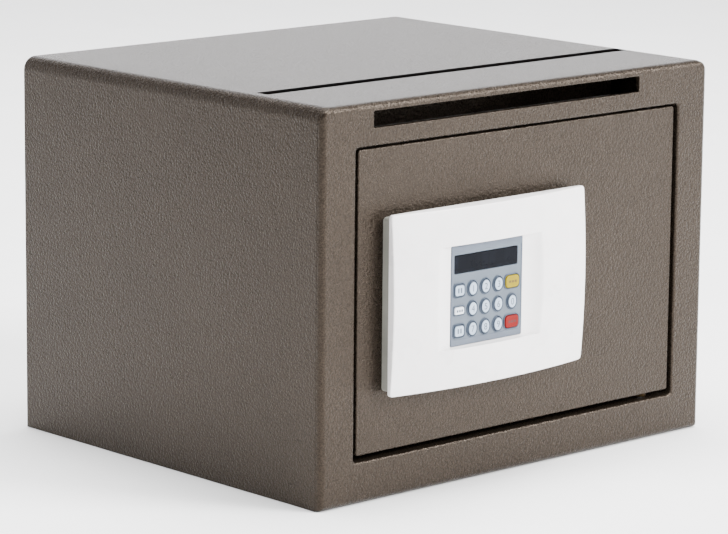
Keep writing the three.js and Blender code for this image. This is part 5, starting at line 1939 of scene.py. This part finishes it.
@dataclass(frozen=True)
class Softbox:
    """A square area light that faces a target. Its lengths are in metres, and its power in watts."""

    name: str
    place: Point
    target: Point
    size: float
    power: float

    def build(self) -> None:
        """Adds the light."""
        leave_selection()
        bpy.ops.object.light_add(type="AREA", location=self.place)
        light = bpy.context.object
        light.name = self.name
        light.data.shape = "SQUARE"
        light.data.size = self.size
        light.data.energy = self.power
        light.rotation_euler = (Vector(self.target) - Vector(self.place)).to_track_quat("-Z", "Y").to_euler()


@dataclass
class Studio:
    """A pale paper floor, soft light and the camera at the photograph's viewing angle, in metres."""

    place: Point = (-1.6336, -1.7666, 0.5897)
    forward: Point = (0.665709, 0.720315, -0.194878)
    right: Point = (0.73558, -0.677378, 0.009013)
    lens: float = 178.163
    floor_size: float = 30.0
    floor_z: float = -0.0003
    surround_strength: float = 3.0
    softboxes: tuple[Softbox, ...] = (
        Softbox("overhead_softbox", (0.2, 0.2, 3.4), (0, 0, 0), 2.4, 430),
        Softbox("edge_softbox", (-1.6, 2.3, 1.6), (0, 0, 0.2), 0.5, 5),
        Softbox("key_softbox", (2.0, -3.1, 2.3), (0, 0, 0.1), 1.6, 470),
    )

    def build(self) -> None:
        """Builds the floor, the lights and the camera."""
        leave_selection()
        place = (0, 0, self.floor_z)
        bpy.ops.mesh.primitive_grid_add(
            x_subdivisions=8, y_subdivisions=8, size=self.floor_size, location=place
        )
        Workpiece("studio_floor").paint(PAPER).obj
        self.surround()
        for softbox in self.softboxes:
            softbox.build()
        self.camera()

    def surround(self) -> None:
        """Sets a pale backdrop round the horizon, under a darker ceiling, dimmed towards the left."""
        world = bpy.data.worlds.new("studio_surround")
        world.use_nodes = True
        tree = world.node_tree
        background = tree.nodes["Background"]
        sky = add_node(tree, "ShaderNodeTexCoord").outputs["Generated"]
        sides = add_node(tree, "ShaderNodeSeparateXYZ", links={"Vector": sky})
        stops = [(0.0, "FFFFFF"), (0.28, "F8F8FC"), (0.46, "38383C"), (0.8, "68686C")]
        height = {"Fac": sides.outputs["Z"]}
        colour = add_node(tree, "ShaderNodeValToRGB", links=height, stops=stops).outputs["Color"]
        across = {"From Min": -1.0, "From Max": 0.6, "To Min": 0.33, "To Max": 1.0}
        fade = add_node(tree, "ShaderNodeMapRange", across, {"Value": sides.outputs["X"]}).outputs["Result"]
        # Inputs 6 and 7 and output 2 are the Mix node's colours.
        multiply = {"data_type": "RGBA", "blend_type": "MULTIPLY", "Factor": 1.0}
        dimmed = add_node(tree, "ShaderNodeMix", multiply, {6: colour, 7: fade})
        tree.links.new(dimmed.outputs[2], background.inputs["Color"])
        background.inputs["Strength"].default_value = self.surround_strength
        bpy.context.scene.world = world

    def camera(self) -> None:
        """Sets the camera from its place, direction and lens."""
        leave_selection()
        bpy.ops.object.camera_add()
        camera = bpy.context.object
        camera.name = "photo_camera"
        camera.data.lens = self.lens
        camera.data.sensor_width = 36
        camera.data.sensor_fit = "HORIZONTAL"
        camera.data.clip_end = 60
        forward, right = Vector(self.forward).normalized(), Vector(self.right)
        right = (right - forward * right.dot(forward)).normalized()
        up = right.cross(forward)
        axes = Matrix((right, up, -forward)).transposed().to_4x4()
        camera.matrix_world = Matrix.Translation(Vector(self.place)) @ axes
        bpy.context.scene.camera = camera


def main() -> None:
    """Builds the studio and every sub-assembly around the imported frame."""
    logging.basicConfig(level=logging.INFO, format="%(message)s", stream=sys.stdout)
    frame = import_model()
    slots = {subpart["node"]: subpart["material_slot"] for subpart in frame["record"]["subparts"]}
    cad = CadModel(frame["nodes"], slots)
    Studio().build()
    cad.dress()
    for assembly in (Cabinet(), Hinge(), Door(), BoltWork(), BatteryHolder(), KeypadUnit(Crown())):
        assembly.build(cad)
    leave_selection()


if __name__ == "__main__":
    main()
